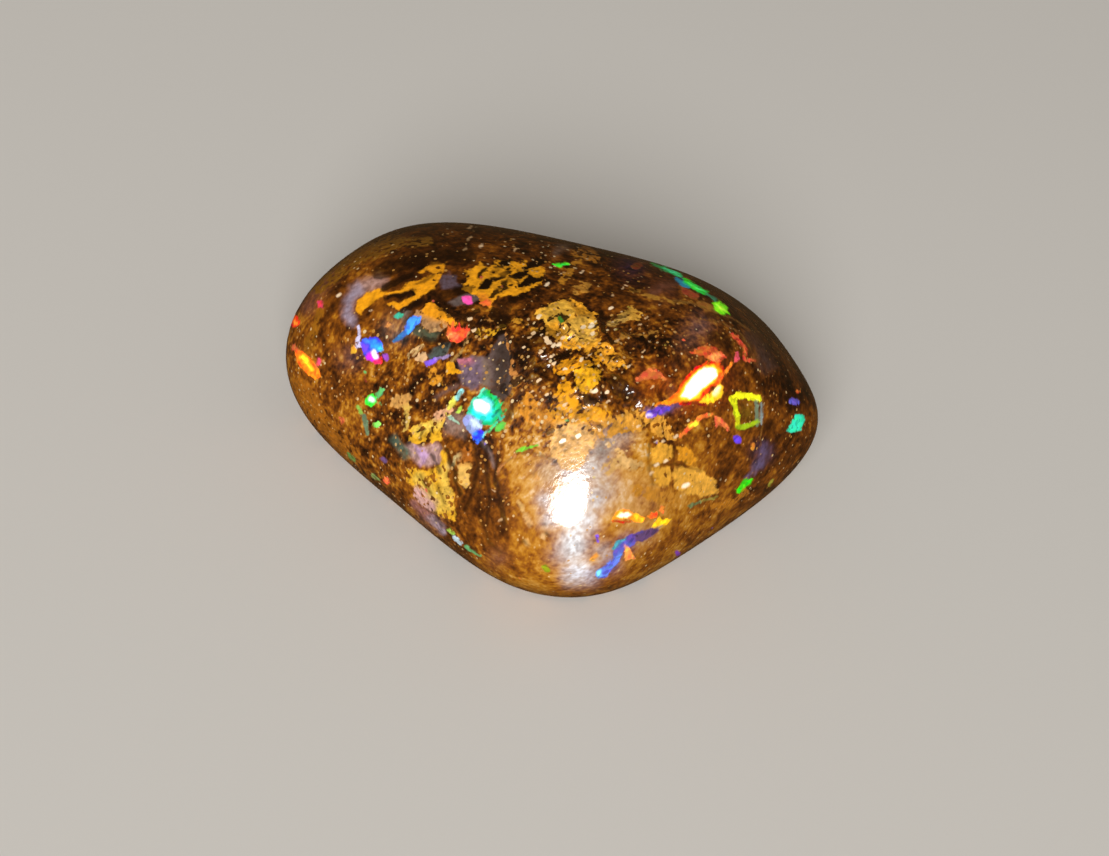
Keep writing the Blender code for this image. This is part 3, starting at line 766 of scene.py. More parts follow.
# The soft areas fade out round the side of the stone, from this share at its very edge, and the
# value for elsewhere always has a little weight.
AREA_FADE = 3.0
AREA_AT_EDGE = 0.6
ELSEWHERE_WEIGHT = 0.02
# The bedding turns to that of the back above this height of the picture, over so many points.
BACK_BEDDING_START = 330
BACK_BEDDING_FADE = 60
# Every noise is read from its own place, its seed times this.
NOISE_OFFSET = (17.3, -9.1, 5.7)

Marking = namedtuple("Marking", "layer colour amount width points")


# ---- drawing on the stone ---------------------------------------------------------------------

def on_sheet(points):
    """Where stone points, in millimetres, fall on the markings' sheet, in picture points."""
    seen = points - CAMERA_PLACE
    depth = seen @ CAMERA_FORWARD
    across = PICTURE_SIZE[0] / 2 + LENS_POINTS * (seen @ CAMERA_RIGHT) / depth
    down = PICTURE_SIZE[1] / 2 - LENS_POINTS * (seen @ CAMERA_UP) / depth
    return np.stack((across, down), axis=1)


def stroke_cover(places, points, width):
    """How far each place lies inside a stroke; negative outside. Several widths make it taper."""
    nearest = np.full(len(places), np.inf)
    along = np.linspace(0, 1, len(points))
    widths = np.interp(along, np.linspace(0, 1, np.size(width)), np.ravel(width))
    for start, end, wide, then in zip(points[:-1], points[1:], widths[:-1], widths[1:]):
        start = np.array(start, float)
        run = np.array(end, float) - start
        share = np.clip(((places - start) @ run) / max(run @ run, 1e-9), 0, 1)
        gap = places - start - share[:, None] * run
        half = (wide + share * (then - wide)) / 2
        nearest = np.minimum(nearest, np.hypot(gap[:, 0], gap[:, 1]) - half)
    return -nearest


def outline_cover(places, points):
    """How far each place lies inside a closed outline; negative outside."""
    closed = list(points) + [points[0]]
    nearest = -stroke_cover(places, closed, 0.0)
    inside = np.zeros(len(places), bool)
    for (x0, y0), (x1, y1) in zip(closed[:-1], closed[1:]):
        if y0 == y1:
            continue
        crosses = (y0 > places[:, 1]) != (y1 > places[:, 1])
        at = x0 + (places[:, 1] - y0) * (x1 - x0) / (y1 - y0)
        inside ^= crosses & (places[:, 0] < at)
    return np.where(inside, nearest, -nearest)


def mark_cover(places, marking):
    """How far each place lies inside a marking; negative outside."""
    if marking.width is None:
        return outline_cover(places, marking.points)
    return stroke_cover(places, marking.points, marking.width)


class Layer:
    """One kind of marking on the stone's points: how far inside it each lies, colour and amount."""

    def __init__(self, count):
        self.cover = np.full(count, UNTOUCHED)
        self.colour = np.zeros((count, 3))
        self.amount = np.zeros(count)

    def lay(self, rows, cover, marking, spread, soft):
        """Lay a marking with a clear edge. Its colour runs past its edge by the spread."""
        share = np.clip((cover + spread) / soft, 0, 1)
        outside = (self.cover[rows] < 0) & (cover > SHEET_SCALE * self.cover[rows])
        share = np.where(outside, 1.0, share)
        colour = np.array(linear(marking.colour)[:3])
        self.colour[rows] += share[:, None] * (colour - self.colour[rows])
        self.amount[rows] += share * (marking.amount - self.amount[rows])
        cover = np.clip(cover / SHEET_SCALE, LEAST_COVER, 1.0)
        self.cover[rows] = np.maximum(self.cover[rows], cover)

    def veil(self, rows, share, colour):
        """Lay a milky marking or a patch of painted sheen over the layer. The amount is how opaque
        the layer is.
        """
        left = self.amount[rows] * (1 - share)
        total = share + left
        mixed = share[:, None] * np.array(linear(colour)[:3]) + left[:, None] * self.colour[rows]
        self.colour[rows] = mixed / np.maximum(total, 1e-6)[:, None]
        self.amount[rows] = total


def noise_values(points, size, seed):
    """Smooth noise between about -0.7 and 0.7 at the stone points, with features of this size."""
    offset = Vector([part * seed for part in NOISE_OFFSET])
    return np.array([noise.noise(Vector(point) / size + offset) for point in points])


def near(places, marking):
    """Rows of the places in the box of a marking, widened by half its stroke and MARKING_REACH."""
    box = np.array(marking.points, float)
    reach = MARKING_REACH + np.max(marking.width or 0) / 2
    low = box.min(axis=0) - reach
    high = box.max(axis=0) + reach
    return np.flatnonzero(((places >= low) & (places <= high)).all(axis=1))


# ---- shaping the stone ------------------------------------------------------------------------

def facing(azimuth, elevation):
    """Unit direction for an azimuth and an elevation in degrees."""
    turn = math.radians(azimuth)
    rise = math.radians(elevation)
    level = math.cos(rise)
    return np.array((math.cos(turn) * level, math.sin(turn) * level, math.sin(rise)))


def ground_points(directions, sharpness):
    """Points of the ground surface, in millimetres, in the directions from the stone's middle."""
    total = np.zeros(len(directions))
    for azimuth, elevation, distance in FLATS.values():
        toward = np.maximum(directions @ facing(azimuth, elevation), 0.0)
        total += (toward / distance) ** sharpness
    reach = total ** (-1.0 / sharpness)
    places = MIDDLE + directions * reach[:, None]
    waves = np.array([noise.noise(Vector(place) / WAVE_LENGTH) for place in places])
    return places + directions * (WAVE_HEIGHT * waves)[:, None]


def band_place(points):
    """Place of each point along and across the pit band, where 1 is its edge."""
    x = points[:, 0] - PIT_BAND_MIDDLE[0]
    y = points[:, 1] - PIT_BAND_MIDDLE[1]
    along = x * math.cos(PIT_BAND_TURN) + y * math.sin(PIT_BAND_TURN)
    across = y * math.cos(PIT_BAND_TURN) - x * math.sin(PIT_BAND_TURN)
    return np.hypot(along / PIT_BAND_HALF_LENGTH, across / PIT_BAND_HALF_WIDTH)


def scattered_pits(sharpness):
    """The solid's pits, as (point, radius, depth)."""
    rng = random.Random(PIT_SEED)
    pits = []
    while len(pits) < PIT_COUNT:
        turn = rng.uniform(0.0, math.tau)
        rise = math.asin(rng.uniform(*PIT_RISE))
        direction = facing(math.degrees(turn), math.degrees(rise))
        point = ground_points(direction[None], sharpness)
        if band_place(point)[0] > PIT_REACH:
            continue
        radius = rng.uniform(*PIT_RADIUS)
        depth = rng.uniform(*PIT_DEPTH)
        pits.append((point[0], radius, depth))
    return pits


def pit_depths(points, pits):
    """How far the pits lower the surface at each point. Where pits meet, the deepest counts."""
    deepest = np.zeros(len(points))
    for centre, radius, depth in pits:
        share = np.linalg.norm(points - centre, axis=1) / radius
        deepest = np.maximum(deepest, depth * np.maximum(1 - share * share, 0) ** 2)
    return deepest


def grain_relief(points):
    """Relief of the sand-like grains, at full height inside the pit band."""
    inside = np.clip((GRAIN_RELIEF_EDGE - band_place(points)) / GRAIN_RELIEF_FADE, 0, 1)
    rows = np.flatnonzero((inside > 0) & (points[:, 2] > MIDDLE[2]))
    relief = np.zeros(len(points))
    for seed, (size, height) in enumerate(zip(GRAIN_RELIEF_SIZES, GRAIN_RELIEF_HEIGHTS)):
        grains = noise_values(points[rows], size, seed + 1) + GRAIN_RELIEF_LIFT
        relief[rows] += height * np.minimum(grains, GRAIN_RELIEF_TOP)
    return relief * inside


def directions_of(bm):
    """Unit direction of every vertex of the sphere."""
    found = np.array([vert.co for vert in bm.verts])
    return found / np.linalg.norm(found, axis=1)[:, None]


def ground_normals(directions, sharpness):
    """The way that the ground surface faces in each direction from the stone's middle."""
    normals = np.zeros((len(directions), 3))
    for azimuth, elevation, distance in FLATS.values():
        flat = facing(azimuth, elevation)
        toward = np.maximum(directions @ flat, 0.0) / distance
        normals += (toward ** (sharpness - 1))[:, None] * flat / distance
    return normals / np.linalg.norm(normals, axis=1)[:, None]


def solid_middle(points):
    """The step from the form's own place to the solid's, which stands over the origin."""
    above = points[points[:, 2] > 0]
    step = -(above.min(axis=0) + above.max(axis=0)) / 2
    return np.array((step[0], step[1], 0.0))


def halve_edges(bm, chosen):
    """Halve every edge that has a chosen end."""
    edges = [edge for edge in bm.edges if any(chosen[vert.index] for vert in edge.verts)]
    bmesh.ops.subdivide_edges(bm, edges=edges, cuts=1, use_grid_fill=True)
    bmesh.ops.triangulate(bm, faces=bm.faces)
    bm.verts.index_update()


def cut_level(bm, height, remove_below):
    """Cut every face that crosses a level plane, and take away what is under it if asked."""
    geometry = list(bm.verts) + list(bm.edges) + list(bm.faces)
    bmesh.ops.bisect_plane(
        bm, geom=geometry, plane_co=(0, 0, height), plane_no=(0, 0, -1), clear_outer=remove_below,
    )


def shape_stone(bm, sharpness):
    """Grind a sphere into the stone, in millimetres, finer at pits and at the markings' edges."""
    bmesh.ops.create_icosphere(bm, subdivisions=1, radius=1.0)
    bmesh.ops.subdivide_edges(bm, edges=bm.edges, cuts=SPHERE_CUTS, use_grid_fill=True)
    bmesh.ops.triangulate(bm, faces=bm.faces)
    bm.verts.index_update()
    to_solid = solid_middle(ground_points(directions_of(bm), sharpness))
    for step, reach in enumerate(HALVING_REACHES):
        directions = directions_of(bm)
        points = ground_points(directions, sharpness)
        outward = ground_normals(directions, sharpness)
        gap = np.full(len(points), np.inf)
        for _, rows, cover in markings_on(points + to_solid, outward, sharpness):
            gap[rows] = np.minimum(gap[rows], np.abs(cover))
        chosen = gap < reach
        if step == 0:
            chosen |= (band_place(points) < GRAIN_RELIEF_EDGE) & (directions[:, 2] > 0)
        halve_edges(bm, chosen)
    directions = directions_of(bm)
    points = ground_points(directions, sharpness)
    depth = pit_depths(points, scattered_pits(sharpness)) - grain_relief(points)
    for vert, place in zip(bm.verts, points - directions * depth[:, None]):
        vert.co = place


def saw_base(bm):
    """Cut the stone flat at z = 0, slope the rim in at 45 degrees, and close the base."""
    cut_level(bm, BASE_CHAMFER, remove_below=False)
    cut_level(bm, 0.0, remove_below=True)
    bmesh.ops.remove_doubles(bm, verts=bm.verts, dist=MERGE_DISTANCE)
    for vert in bm.verts:
        if vert.is_boundary:
            vert.co.z = 0.0
    for vert in bm.verts:
        inward = BASE_CHAMFER - vert.co.z
        if inward > 0.0:
            outward = Vector((vert.co.x, vert.co.y, 0.0)).normalized()
            vert.co -= outward * inward
    open_edges = [edge for edge in bm.edges if edge.is_boundary]
    for face in bmesh.ops.holes_fill(bm, edges=open_edges, sides=0)["faces"]:
        face.material_index = SAWN_SLOT
    bmesh.ops.triangulate(bm, faces=bm.faces)


def fit_to_solid(bm):
    """Move the stone to the solid's own place, and bring it to the solid's box."""
    low, high = (np.array(corner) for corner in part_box("opal_stone"))
    places = np.array([vert.co for vert in bm.verts])
    now_low = places.min(axis=0)
    now_high = places.max(axis=0)
    bmesh.ops.translate(bm, verts=bm.verts, vec=Vector(-(now_low + now_high) / 2))
    bmesh.ops.scale(bm, verts=bm.verts, vec=Vector((high - low) / (now_high - now_low)))
    bmesh.ops.translate(bm, verts=bm.verts, vec=Vector((low + high) / 2))


# ---- laying the markings on -------------------------------------------------------------------

def edge_shifts(points):
    """Small shifts, in picture points, that make a loose edge and a tight one wander."""
    wander, ragged = (
        np.stack([noise_values(points, size, seed) for seed in seeds], axis=1) * shift
        for size, shift, seeds in EDGE_SHIFTS
    )
    return [slow * wander + quick * ragged for slow, quick in (LOOSE_SHARES, TIGHT_SHARES)]


def named_markings():
    """The markings that were drawn on the sheet."""
    for layer, group in (("ochre", OCHRE), ("potch", POTCH), ("flash", FLASHES)):
        for colour, amount, width, points in group:
            yield Marking(layer, colour, amount, width, points)
    for strength, width, points in DARKS:
        yield Marking("dark", "#000000", strength, width, points)
    # The painted glints: pale specks that stand for light glinting off grains.
    right, down = GLINT_HALF_LENGTH
    for x, y, width in PAINTED_GLINTS:
        points = [(x - right, y - down), (x + right, y + down)]
        glint = min(width / FULL_GLINT_WIDTH, 1.0)
        yield Marking("grain", "#ffffff", glint, GLINT_WIDTH_SHARE * width, points)


def random_outline(rng, size):
    """An uneven outline round the origin, longer than it is wide."""
    stretch = rng.uniform(*SCATTER_STRETCH)
    corners = LEAST_CORNERS + int(size / CORNER_STEP)
    outline = []
    for corner in range(corners):
        turn = math.tau * (corner + rng.uniform(*CORNER_STRAY)) / corners
        reach = size * rng.uniform(*CORNER_REACH)
        outline.append((reach * stretch * math.cos(turn), reach * math.sin(turn)))
    return outline


def toward_camera(direction, sharpness):
    """Cosine between the ground surface's facing in a direction and the way to the camera."""
    return ground_normals(direction[None], sharpness)[0] @ -CAMERA_FORWARD


def scattered_markings(sharpness):
    """Markings at random, as (marking, middle, across, up). Its points lie across and up."""
    rng = random.Random(SCATTER_SEED)
    clusters = []
    while len(clusters) < CLUSTERS:
        direction = facing(rng.uniform(0, 360), rng.uniform(*CLUSTER_ELEVATIONS))
        if toward_camera(direction, sharpness) < UNSEEN_LIMIT:
            clusters.append(direction)
    for layer, seen, count, sizes, amount, colours in SCATTERED:
        while count:
            direction = facing(rng.uniform(0, 360), rng.uniform(*SCATTER_ELEVATIONS))
            if not seen:
                cluster = rng.choice(clusters)
                stray = np.array([rng.gauss(0, 1) for _ in range(3)])
                direction = cluster + CLUSTER_SPREAD * stray
                direction /= np.linalg.norm(direction)
            tilt = rng.uniform(*SCATTER_TILT)
            level = np.cross((0, 0, 1), direction)
            across = math.cos(tilt) * level + math.sin(tilt) * np.cross(direction, level)
            across /= np.linalg.norm(across)
            outline = random_outline(rng, rng.uniform(*sizes))
            colour = rng.choice(colours)
            faces = toward_camera(direction, sharpness)
            if faces < SEEN_LIMIT if seen else faces > UNSEEN_LIMIT:
                continue
            count -= 1
            middle = ground_points(direction[None], sharpness)[0]
            marking = Marking(layer, colour, amount, None, outline)
            yield marking, middle, across, np.cross(direction, across)


def markings_on(points, normals, sharpness):
    """Each marking in turn, with the rows of the points near it and how far inside it those lie."""
    loose, tight = edge_shifts(points)
    toward = CAMERA_PLACE - points
    toward /= np.linalg.norm(toward, axis=1)[:, None]
    seen = np.flatnonzero((normals * toward).sum(axis=1) > DRAWN_LIMIT)
    places = on_sheet(points[seen])
    for marking in named_markings():
        thin = marking.width and np.max(marking.width) < FINE_WIDTH
        shift = tight if thin or marking.layer in ("flash", "grain") else loose
        rows = near(places, marking)
        yield marking, seen[rows], mark_cover(places[rows] + shift[seen[rows]], marking)
    for marking, middle, across, up in scattered_markings(sharpness):
        gap = points - middle
        reach = np.hypot(*np.array(marking.points).T).max() + MARKING_REACH
        rows = np.flatnonzero((gap * gap).sum(axis=1) < (reach / SHEET_SCALE) ** 2)
        on_it = SHEET_SCALE * np.stack((gap[rows] @ across, gap[rows] @ up), axis=1)
        yield marking, rows, mark_cover(on_it + tight[rows], marking)


def lay_markings(layers, points, normals, sharpness):
    """Lay every marking and haze on its layer, the painted sheen round the nose's highlight among
    the hazes.
    """
    for marking, rows, cover in markings_on(points, normals, sharpness):
        layer = layers[marking.layer]
        if marking.layer == "potch":
            share = np.clip(0.5 + cover / (2 * marking.amount), 0, 1)
            layer.veil(rows, POTCH_OPACITY * share * share * (3 - 2 * share), marking.colour)
        else:
            spread, soft = FLASH_SPREAD if marking.layer == "flash" else MATRIX_SPREAD
            layer.lay(rows, cover, marking, spread, soft)
    seen = np.flatnonzero((normals @ -CAMERA_FORWARD) > 0.0)
    places = on_sheet(points[seen])
    # The hazes go on the potch layer; the pale ones round the nose are painted sheen.
    for colour, opacity, radius, x, y in HAZES_AND_PAINTED_SHEEN:
        share = opacity * np.exp(-(((places - (x, y)) / radius) ** 2).sum(axis=1))
        rows = np.flatnonzero(share > FAINTEST_HAZE)
        layers["potch"].veil(seen[rows], share[rows], colour)


def blended(points, normals, areas, elsewhere):
    """One value at each point, blended from soft areas (value, radius, x, y) of the sheet."""
    places = on_sheet(points)
    seen = np.clip(AREA_FADE * (normals @ -CAMERA_FORWARD) + AREA_AT_EDGE, 0, 1)
    total = np.full(len(points), ELSEWHERE_WEIGHT)
    sum_of_values = total * elsewhere
    for value, radius, x, y in areas:
        weight = seen * np.exp(-(((places - (x, y)) / radius) ** 2).sum(axis=1))
        total += weight
        sum_of_values += weight * value
    return sum_of_values / total


def store(mesh, name, values):
    """Keep one value or colour per mesh point under a name that the materials read."""
    if values.ndim == 1:
        attribute = mesh.attributes.new(name, "FLOAT", "POINT")
        attribute.data.foreach_set("value", values.astype(np.float32))
    else:
        attribute = mesh.attributes.new(name, "FLOAT_COLOR", "POINT")
        colours = np.ones((len(values), 4), np.float32)
        colours[:, :3] = values
        attribute.data.foreach_set("color", colours.ravel())


def mark_stone(mesh, sharpness):
    """Keep the markings and the tone of the matrix on the finished stone's points."""
    count = len(mesh.vertices)
    points = np.empty(count * 3, np.float32)
    normals = np.empty(count * 3, np.float32)
    mesh.vertices.foreach_get("co", points)
    mesh.vertices.foreach_get("normal", normals)
    points = points.reshape(-1, 3).astype(float) / MM
    normals = normals.reshape(-1, 3).astype(float)
    layers = {name: Layer(count) for name in LAYERS}
    lay_markings(layers, points, normals, sharpness)
    for name, parts in LAYERS.items():
        for part in parts:
            store(mesh, name + "_" + part, getattr(layers[name], part))
    # The tone holds painted shade at the far top edge and the right end, as well as the matrix's
    # own tone.
    store(mesh, "tone", blended(points, normals, TONES_AND_PAINTED_SHADE, TONE_ELSEWHERE))
    store(mesh, "contrast", blended(points, normals, CONTRASTS, CONTRAST_ELSEWHERE))
    rough = np.clip((BROKEN_GLOSS_EDGE - band_place(points)) / BROKEN_GLOSS_FADE, 0, 1)
    store(mesh, "rough", rough * (points[:, 2] > MIDDLE[2]))
    above = BACK_BEDDING_START - on_sheet(points)[:, 1]
    store(mesh, "back_share", np.clip(above / BACK_BEDDING_FADE, 0, 1))


# ---- materials --------------------------------------------------------------------------------

NOISE = "ShaderNodeTexNoise"
MATH = "ShaderNodeMath"
VECTOR = "ShaderNodeVectorMath"
RANGE = "ShaderNodeMapRange"
MIX = "ShaderNodeMix"


def add_node(tree, kind, sockets=None, stops=(), **settings):
    """Add a node with its settings, and fill its sockets with values or links."""
    node = tree.nodes.new(kind)
    for name, value in settings.items():
        setattr(node, name, value)
    for key, value in (sockets or {}).items():
        if isinstance(value, bpy.types.NodeSocket):
            tree.links.new(value, node.inputs[key])
        else:
            node.inputs[key].default_value = value
    for number, (place, colour) in enumerate(stops):
        elements = node.color_ramp.elements
        element = elements[number] if number < 2 else elements.new(place)
        element.position = place
        element.color = (*colour[:3], 1.0)
    return node


def polished_boulder_opal(look):
    """Boulder opal: brown ironstone with ochre, potch and opal, hand-polished.

    Two reflections lie over each other: the polish's tight bright one, and a wide dim one from the
    fine grains just under it. The pits keep a broken gloss. Its colour also holds painted light:
    painted sheen round the nose's highlight, painted shade in the matrix's tone, painted glints,
    and an emitted glow in the opal and the glints.
    """
    material = bpy.data.materials.new("polished_boulder_opal")
    material.use_nodes = True
    tree = material.node_tree
    shader = tree.nodes["Principled BSDF"]
    names = [layer + "_" + part for layer, parts in LAYERS.items() for part in parts]
    field = {
        name: add_node(tree, "ShaderNodeAttribute", attribute_name=name).outputs[
            "Color" if name.endswith("_colour") else "Fac"]
        for name in (*names, "tone", "contrast", "rough", "back_share")
    }
    place = add_node(tree, "ShaderNodeTexCoord").outputs["Object"]

    # The grains lie along the old bedding, which bends a little.
    drift = add_node(tree, NOISE, {
        "Vector": place, "Scale": 1 / (BEDDING_BEND_LENGTH * MM), "Detail": 1.0,
    })
    bent = add_node(tree, VECTOR, {
        0: drift.outputs["Color"], 1: (BEDDING_BEND * MM,) * 3, 2: place,
    }, operation="MULTIPLY_ADD").outputs[0]
    beddings = [
        add_node(tree, "ShaderNodeMapping", {
            "Vector": bent, "Rotation": Vector(way).to_track_quat("X", "Z").to_euler(),
            "Scale": (BEDDING_STRETCH * MM, MM, MM),
        }, vector_type="TEXTURE").outputs[0]
        for way in BEDDING_WAYS
    ]
    # Grain sizes are in millimetres. The two beddings run into each other across the crown.
    specks = {"Scale": 1 / SPECK_SPACING}
    textures = []
    for kind, output, sockets in (
        (NOISE, "Fac", {
            "Scale": 1 / CLOT_SIZE, "Detail": 2.5, "Roughness": 0.55, "Distortion": 0.2,
        }),
        (NOISE, "Fac", {"Scale": 1 / (look.grain_size / MM), "Detail": 1.0, "Roughness": 0.5}),
        (NOISE, "Fac", {"Scale": 1 / GAP_SIZE, "Detail": 1.5, "Roughness": 0.5}),
        ("ShaderNodeTexVoronoi", "Distance", specks),
        ("ShaderNodeTexVoronoi", "Color", specks),
    ):
        front, back = (
            add_node(tree, kind, {"Vector": way, **sockets}).outputs[output] for way in beddings
        )
        textures.append(add_node(tree, MIX, {
            0: field["back_share"], 6: front, 7: back,
        }, data_type="RGBA").outputs[2])
    clots, grains, gaps, speck_distance, speck_random = textures
    clouds = add_node(tree, NOISE, {
        "Vector": place, "Scale": 1 / (CLOUD_SIZE * MM), "Detail": 3.0, "Roughness": 0.55,
        "Distortion": 0.6,
    }).outputs["Fac"]

    # Matrix: dark brown through amber to tan. Its tone holds painted shade at the far top edge and
    # the right end.
    tone = field["tone"]
    for texture, weight, contrast in (
        (clouds, CLOUD_WEIGHT, 1.0),
        (clots, CLOT_WEIGHT, field["contrast"]),
        (grains, GRAIN_WEIGHT, field["contrast"]),
    ):
        shift = add_node(tree, MATH, {0: texture, 1: 0.5}, operation="SUBTRACT").outputs[0]
        shift = add_node(tree, MATH, {0: shift, 1: contrast}, operation="MULTIPLY").outputs[0]
        tone = add_node(tree, MATH, {
            0: shift, 1: weight, 2: tone,
        }, operation="MULTIPLY_ADD").outputs[0]
    colour = add_node(tree, "ShaderNodeValToRGB", {"Fac": tone}, stops=(
        (0.0, look.crack_colour), (1.0, look.tan_colour), (0.18, linear("#401d02")),
        (0.34, look.brown_colour), (0.48, linear("#96540a")), (0.62, look.amber_colour),
        (0.78, linear("#dca044")),
    )).outputs["Color"]

    # Edges of the markings wander with the clots and grains around them, and more where the matrix
    # has more contrast. Opal ends in steps, a scale at a time. Both values are in millimetres.
    pick = add_node(tree, "ShaderNodeSeparateColor", {"Color": speck_random}).outputs
    scale_step = add_node(tree, MATH, {0: pick[2], 1: 0.5}, operation="SUBTRACT").outputs[0]
    wobble = add_node(tree, MATH, {0: clots, 1: grains}, operation="ADD").outputs[0]
    wobble = add_node(tree, MATH, {0: wobble, 1: 1.0}, operation="SUBTRACT").outputs[0]
    strong = add_node(tree, MATH, {
        0: wobble, 1: field["contrast"],
    }, operation="MULTIPLY").outputs[0]
    mask = {}
    for name, ragged, soft in (
        ("ochre", 0.20, 0.06), ("dark", 0.22, 0.07), ("grain", 0.08, 0.05), ("flash", 0.05, 0.04),
    ):
        moved = add_node(tree, MATH, {
            0: strong, 1: ragged, 2: field[name + "_cover"],
        }, operation="MULTIPLY_ADD").outputs[0]
        if name == "flash":
            moved = add_node(tree, MATH, {
                0: scale_step, 1: SCALE_STEP, 2: moved,
            }, operation="MULTIPLY_ADD").outputs[0]
        else:
            moved = add_node(tree, MATH, {
                0: moved, 1: field["contrast"],
            }, operation="MULTIPLY").outputs[0]
        mask[name] = add_node(tree, RANGE, {
            "Value": moved, "From Min": -soft, "From Max": soft,
        }, interpolation_type="SMOOTHSTEP").outputs[0]

    # Potch lies deepest, milky and with faint flecks. Its layer also holds the hazes, among them
    # the painted sheen round the nose's highlight.
    fleck = add_node(tree, RANGE, {
        "Value": grains, "From Min": 0.3, "From Max": 0.7, "To Min": 0.80, "To Max": 1.25,
    }).outputs[0]
    milky_and_sheen = add_node(tree, VECTOR, {
        0: field["potch_colour"], "Scale": fleck,
    }, operation="SCALE").outputs[0]
    share = add_node(tree, MATH, {
        0: field["potch_amount"], 1: fleck,
    }, operation="MULTIPLY", use_clamp=True).outputs[0]
    colour = add_node(tree, MIX, {0: share, 6: colour, 7: milky_and_sheen}, data_type="RGBA").outputs[2]

    # Ochre has brown gaps, and is deeper where the clots are dark.
    shade = add_node(tree, MATH, {
        0: strong, 1: OCHRE_SHADE, 2: 1.0,
    }, operation="MULTIPLY_ADD").outputs[0]
    shade = add_node(tree, "ShaderNodeClamp", {"Value": shade, "Min": 0.5, "Max": 1.4}).outputs[0]
    open_more = add_node(tree, MATH, {
        0: field["ochre_amount"], 1: GAP_OPENNESS, 2: gaps,
    }, operation="MULTIPLY_ADD").outputs[0]
    open_more = add_node(tree, MATH, {
        0: wobble, 1: GAP_CLOTS, 2: open_more,
    }, operation="MULTIPLY_ADD").outputs[0]
    kept = add_node(tree, RANGE, {
        "Value": open_more, "From Min": 0.60, "From Max": 0.68, "To Min": 1.0, "To Max": 0.05,
    }, interpolation_type="SMOOTHSTEP").outputs[0]
    share = add_node(tree, MATH, {0: mask["ochre"], 1: kept}, operation="MULTIPLY").outputs[0]
    own = add_node(tree, VECTOR, {
        0: field["ochre_colour"], "Scale": shade,
    }, operation="SCALE").outputs[0]
    colour = add_node(tree, MIX, {0: share, 6: colour, 7: own}, data_type="RGBA").outputs[2]

    share = add_node(tree, MATH, {
        0: mask["dark"], 1: field["dark_amount"],
    }, operation="MULTIPLY").outputs[0]
    colour = add_node(tree, MIX, {
        0: share, 6: colour, 7: (*look.crack_colour, 1.0),
    }, data_type="RGBA").outputs[2]

    # Specks: sand grains, one in a few, pale ones in the pits. Their paleness is partly the grains'
    # own colour and partly painted glints, where they catch the light.
    size = add_node(tree, MATH, {
        0: field["contrast"], 1: SPECKS_PER_CONTRAST, 2: pick[0],
    }, operation="MULTIPLY_ADD").outputs[0]
    size = add_node(tree, RANGE, {
        "Value": size, "From Min": 0.78, "From Max": 1.16, "To Min": 0.0, "To Max": 0.42,
    }).outputs[0]
    inside = add_node(tree, MATH, {0: size, 1: speck_distance}, operation="SUBTRACT").outputs[0]
    speck = add_node(tree, RANGE, {
        "Value": inside, "From Min": -0.06, "From Max": 0.10,
        "To Min": 0.0, "To Max": SPECK_STRENGTH,
    }, interpolation_type="SMOOTHSTEP").outputs[0]
    pale = add_node(tree, MATH, {0: pick[1], 1: 3.0}, operation="POWER").outputs[0]
    speck_colour = add_node(tree, MIX, {
        0: pale, 6: linear("#c98f3c"), 7: linear("#f6dfae"),
    }, data_type="RGBA").outputs[2]
    colour = add_node(tree, MIX, {
        0: speck, 6: colour, 7: speck_colour,
    }, data_type="RGBA").outputs[2]
    # Painted glints: pale specks that stand for light glinting off the grains.
    glint_colour = add_node(tree, MIX, {
        0: field["grain_amount"], 6: linear("#cf9440"), 7: linear("#fff6dc"),
    }, data_type="RGBA").outputs[2]
    colour = add_node(tree, MIX, {
        0: mask["grain"], 6: colour, 7: glint_colour,
    }, data_type="RGBA").outputs[2]

    # Opal: brightest inside, with scales that differ a little in hue and light.
    hue = add_node(tree, RANGE, {
        "Value": gaps, "From Min": 0.3, "From Max": 0.7, "To Min": 0.48, "To Max": 0.52,
    }).outputs[0]
    scales = add_node(tree, RANGE, {"Value": pick[2], "To Min": 0.65, "To Max": 1.25}).outputs[0]
    opal = add_node(tree, "ShaderNodeHueSaturation", {
        "Hue": hue, "Value": scales, "Color": field["flash_colour"],
    }).outputs[0]
    colour = add_node(tree, MIX, {
        0: mask["flash"], 6: colour, 7: opal,
    }, data_type="RGBA").outputs[2]
    tree.links.new(colour, shader.inputs["Base Color"])
    # Painted light: the opal glows by emission, most deep inside a flash.
    depth = add_node(tree, RANGE, {
        "Value": field["flash_cover"], "From Min": -0.03, "From Max": 0.12,
        "To Min": 0.4 * look.glow, "To Max": look.glow,
    }).outputs[0]
    glow = add_node(tree, MATH, {
        0: mask["flash"], 1: field["flash_amount"],
    }, operation="MULTIPLY").outputs[0]
    glow = add_node(tree, MATH, {0: glow, 1: depth}, operation="MULTIPLY").outputs[0]
    lit = add_node(tree, VECTOR, {0: opal, "Scale": glow}, operation="SCALE").outputs[0]
    # The painted glints glow too, by emission.
    glint = add_node(tree, MATH, {
        0: mask["grain"], 1: field["grain_amount"],
    }, operation="MULTIPLY").outputs[0]
    glint = add_node(tree, MATH, {0: glint, 1: GLINT_STRENGTH}, operation="MULTIPLY").outputs[0]
    glint = add_node(tree, VECTOR, {0: glint_colour, "Scale": glint}, operation="SCALE").outputs[0]
    lit = add_node(tree, VECTOR, {0: lit, 1: glint}, operation="ADD").outputs[0]
    tree.links.new(lit, shader.inputs["Emission Color"])

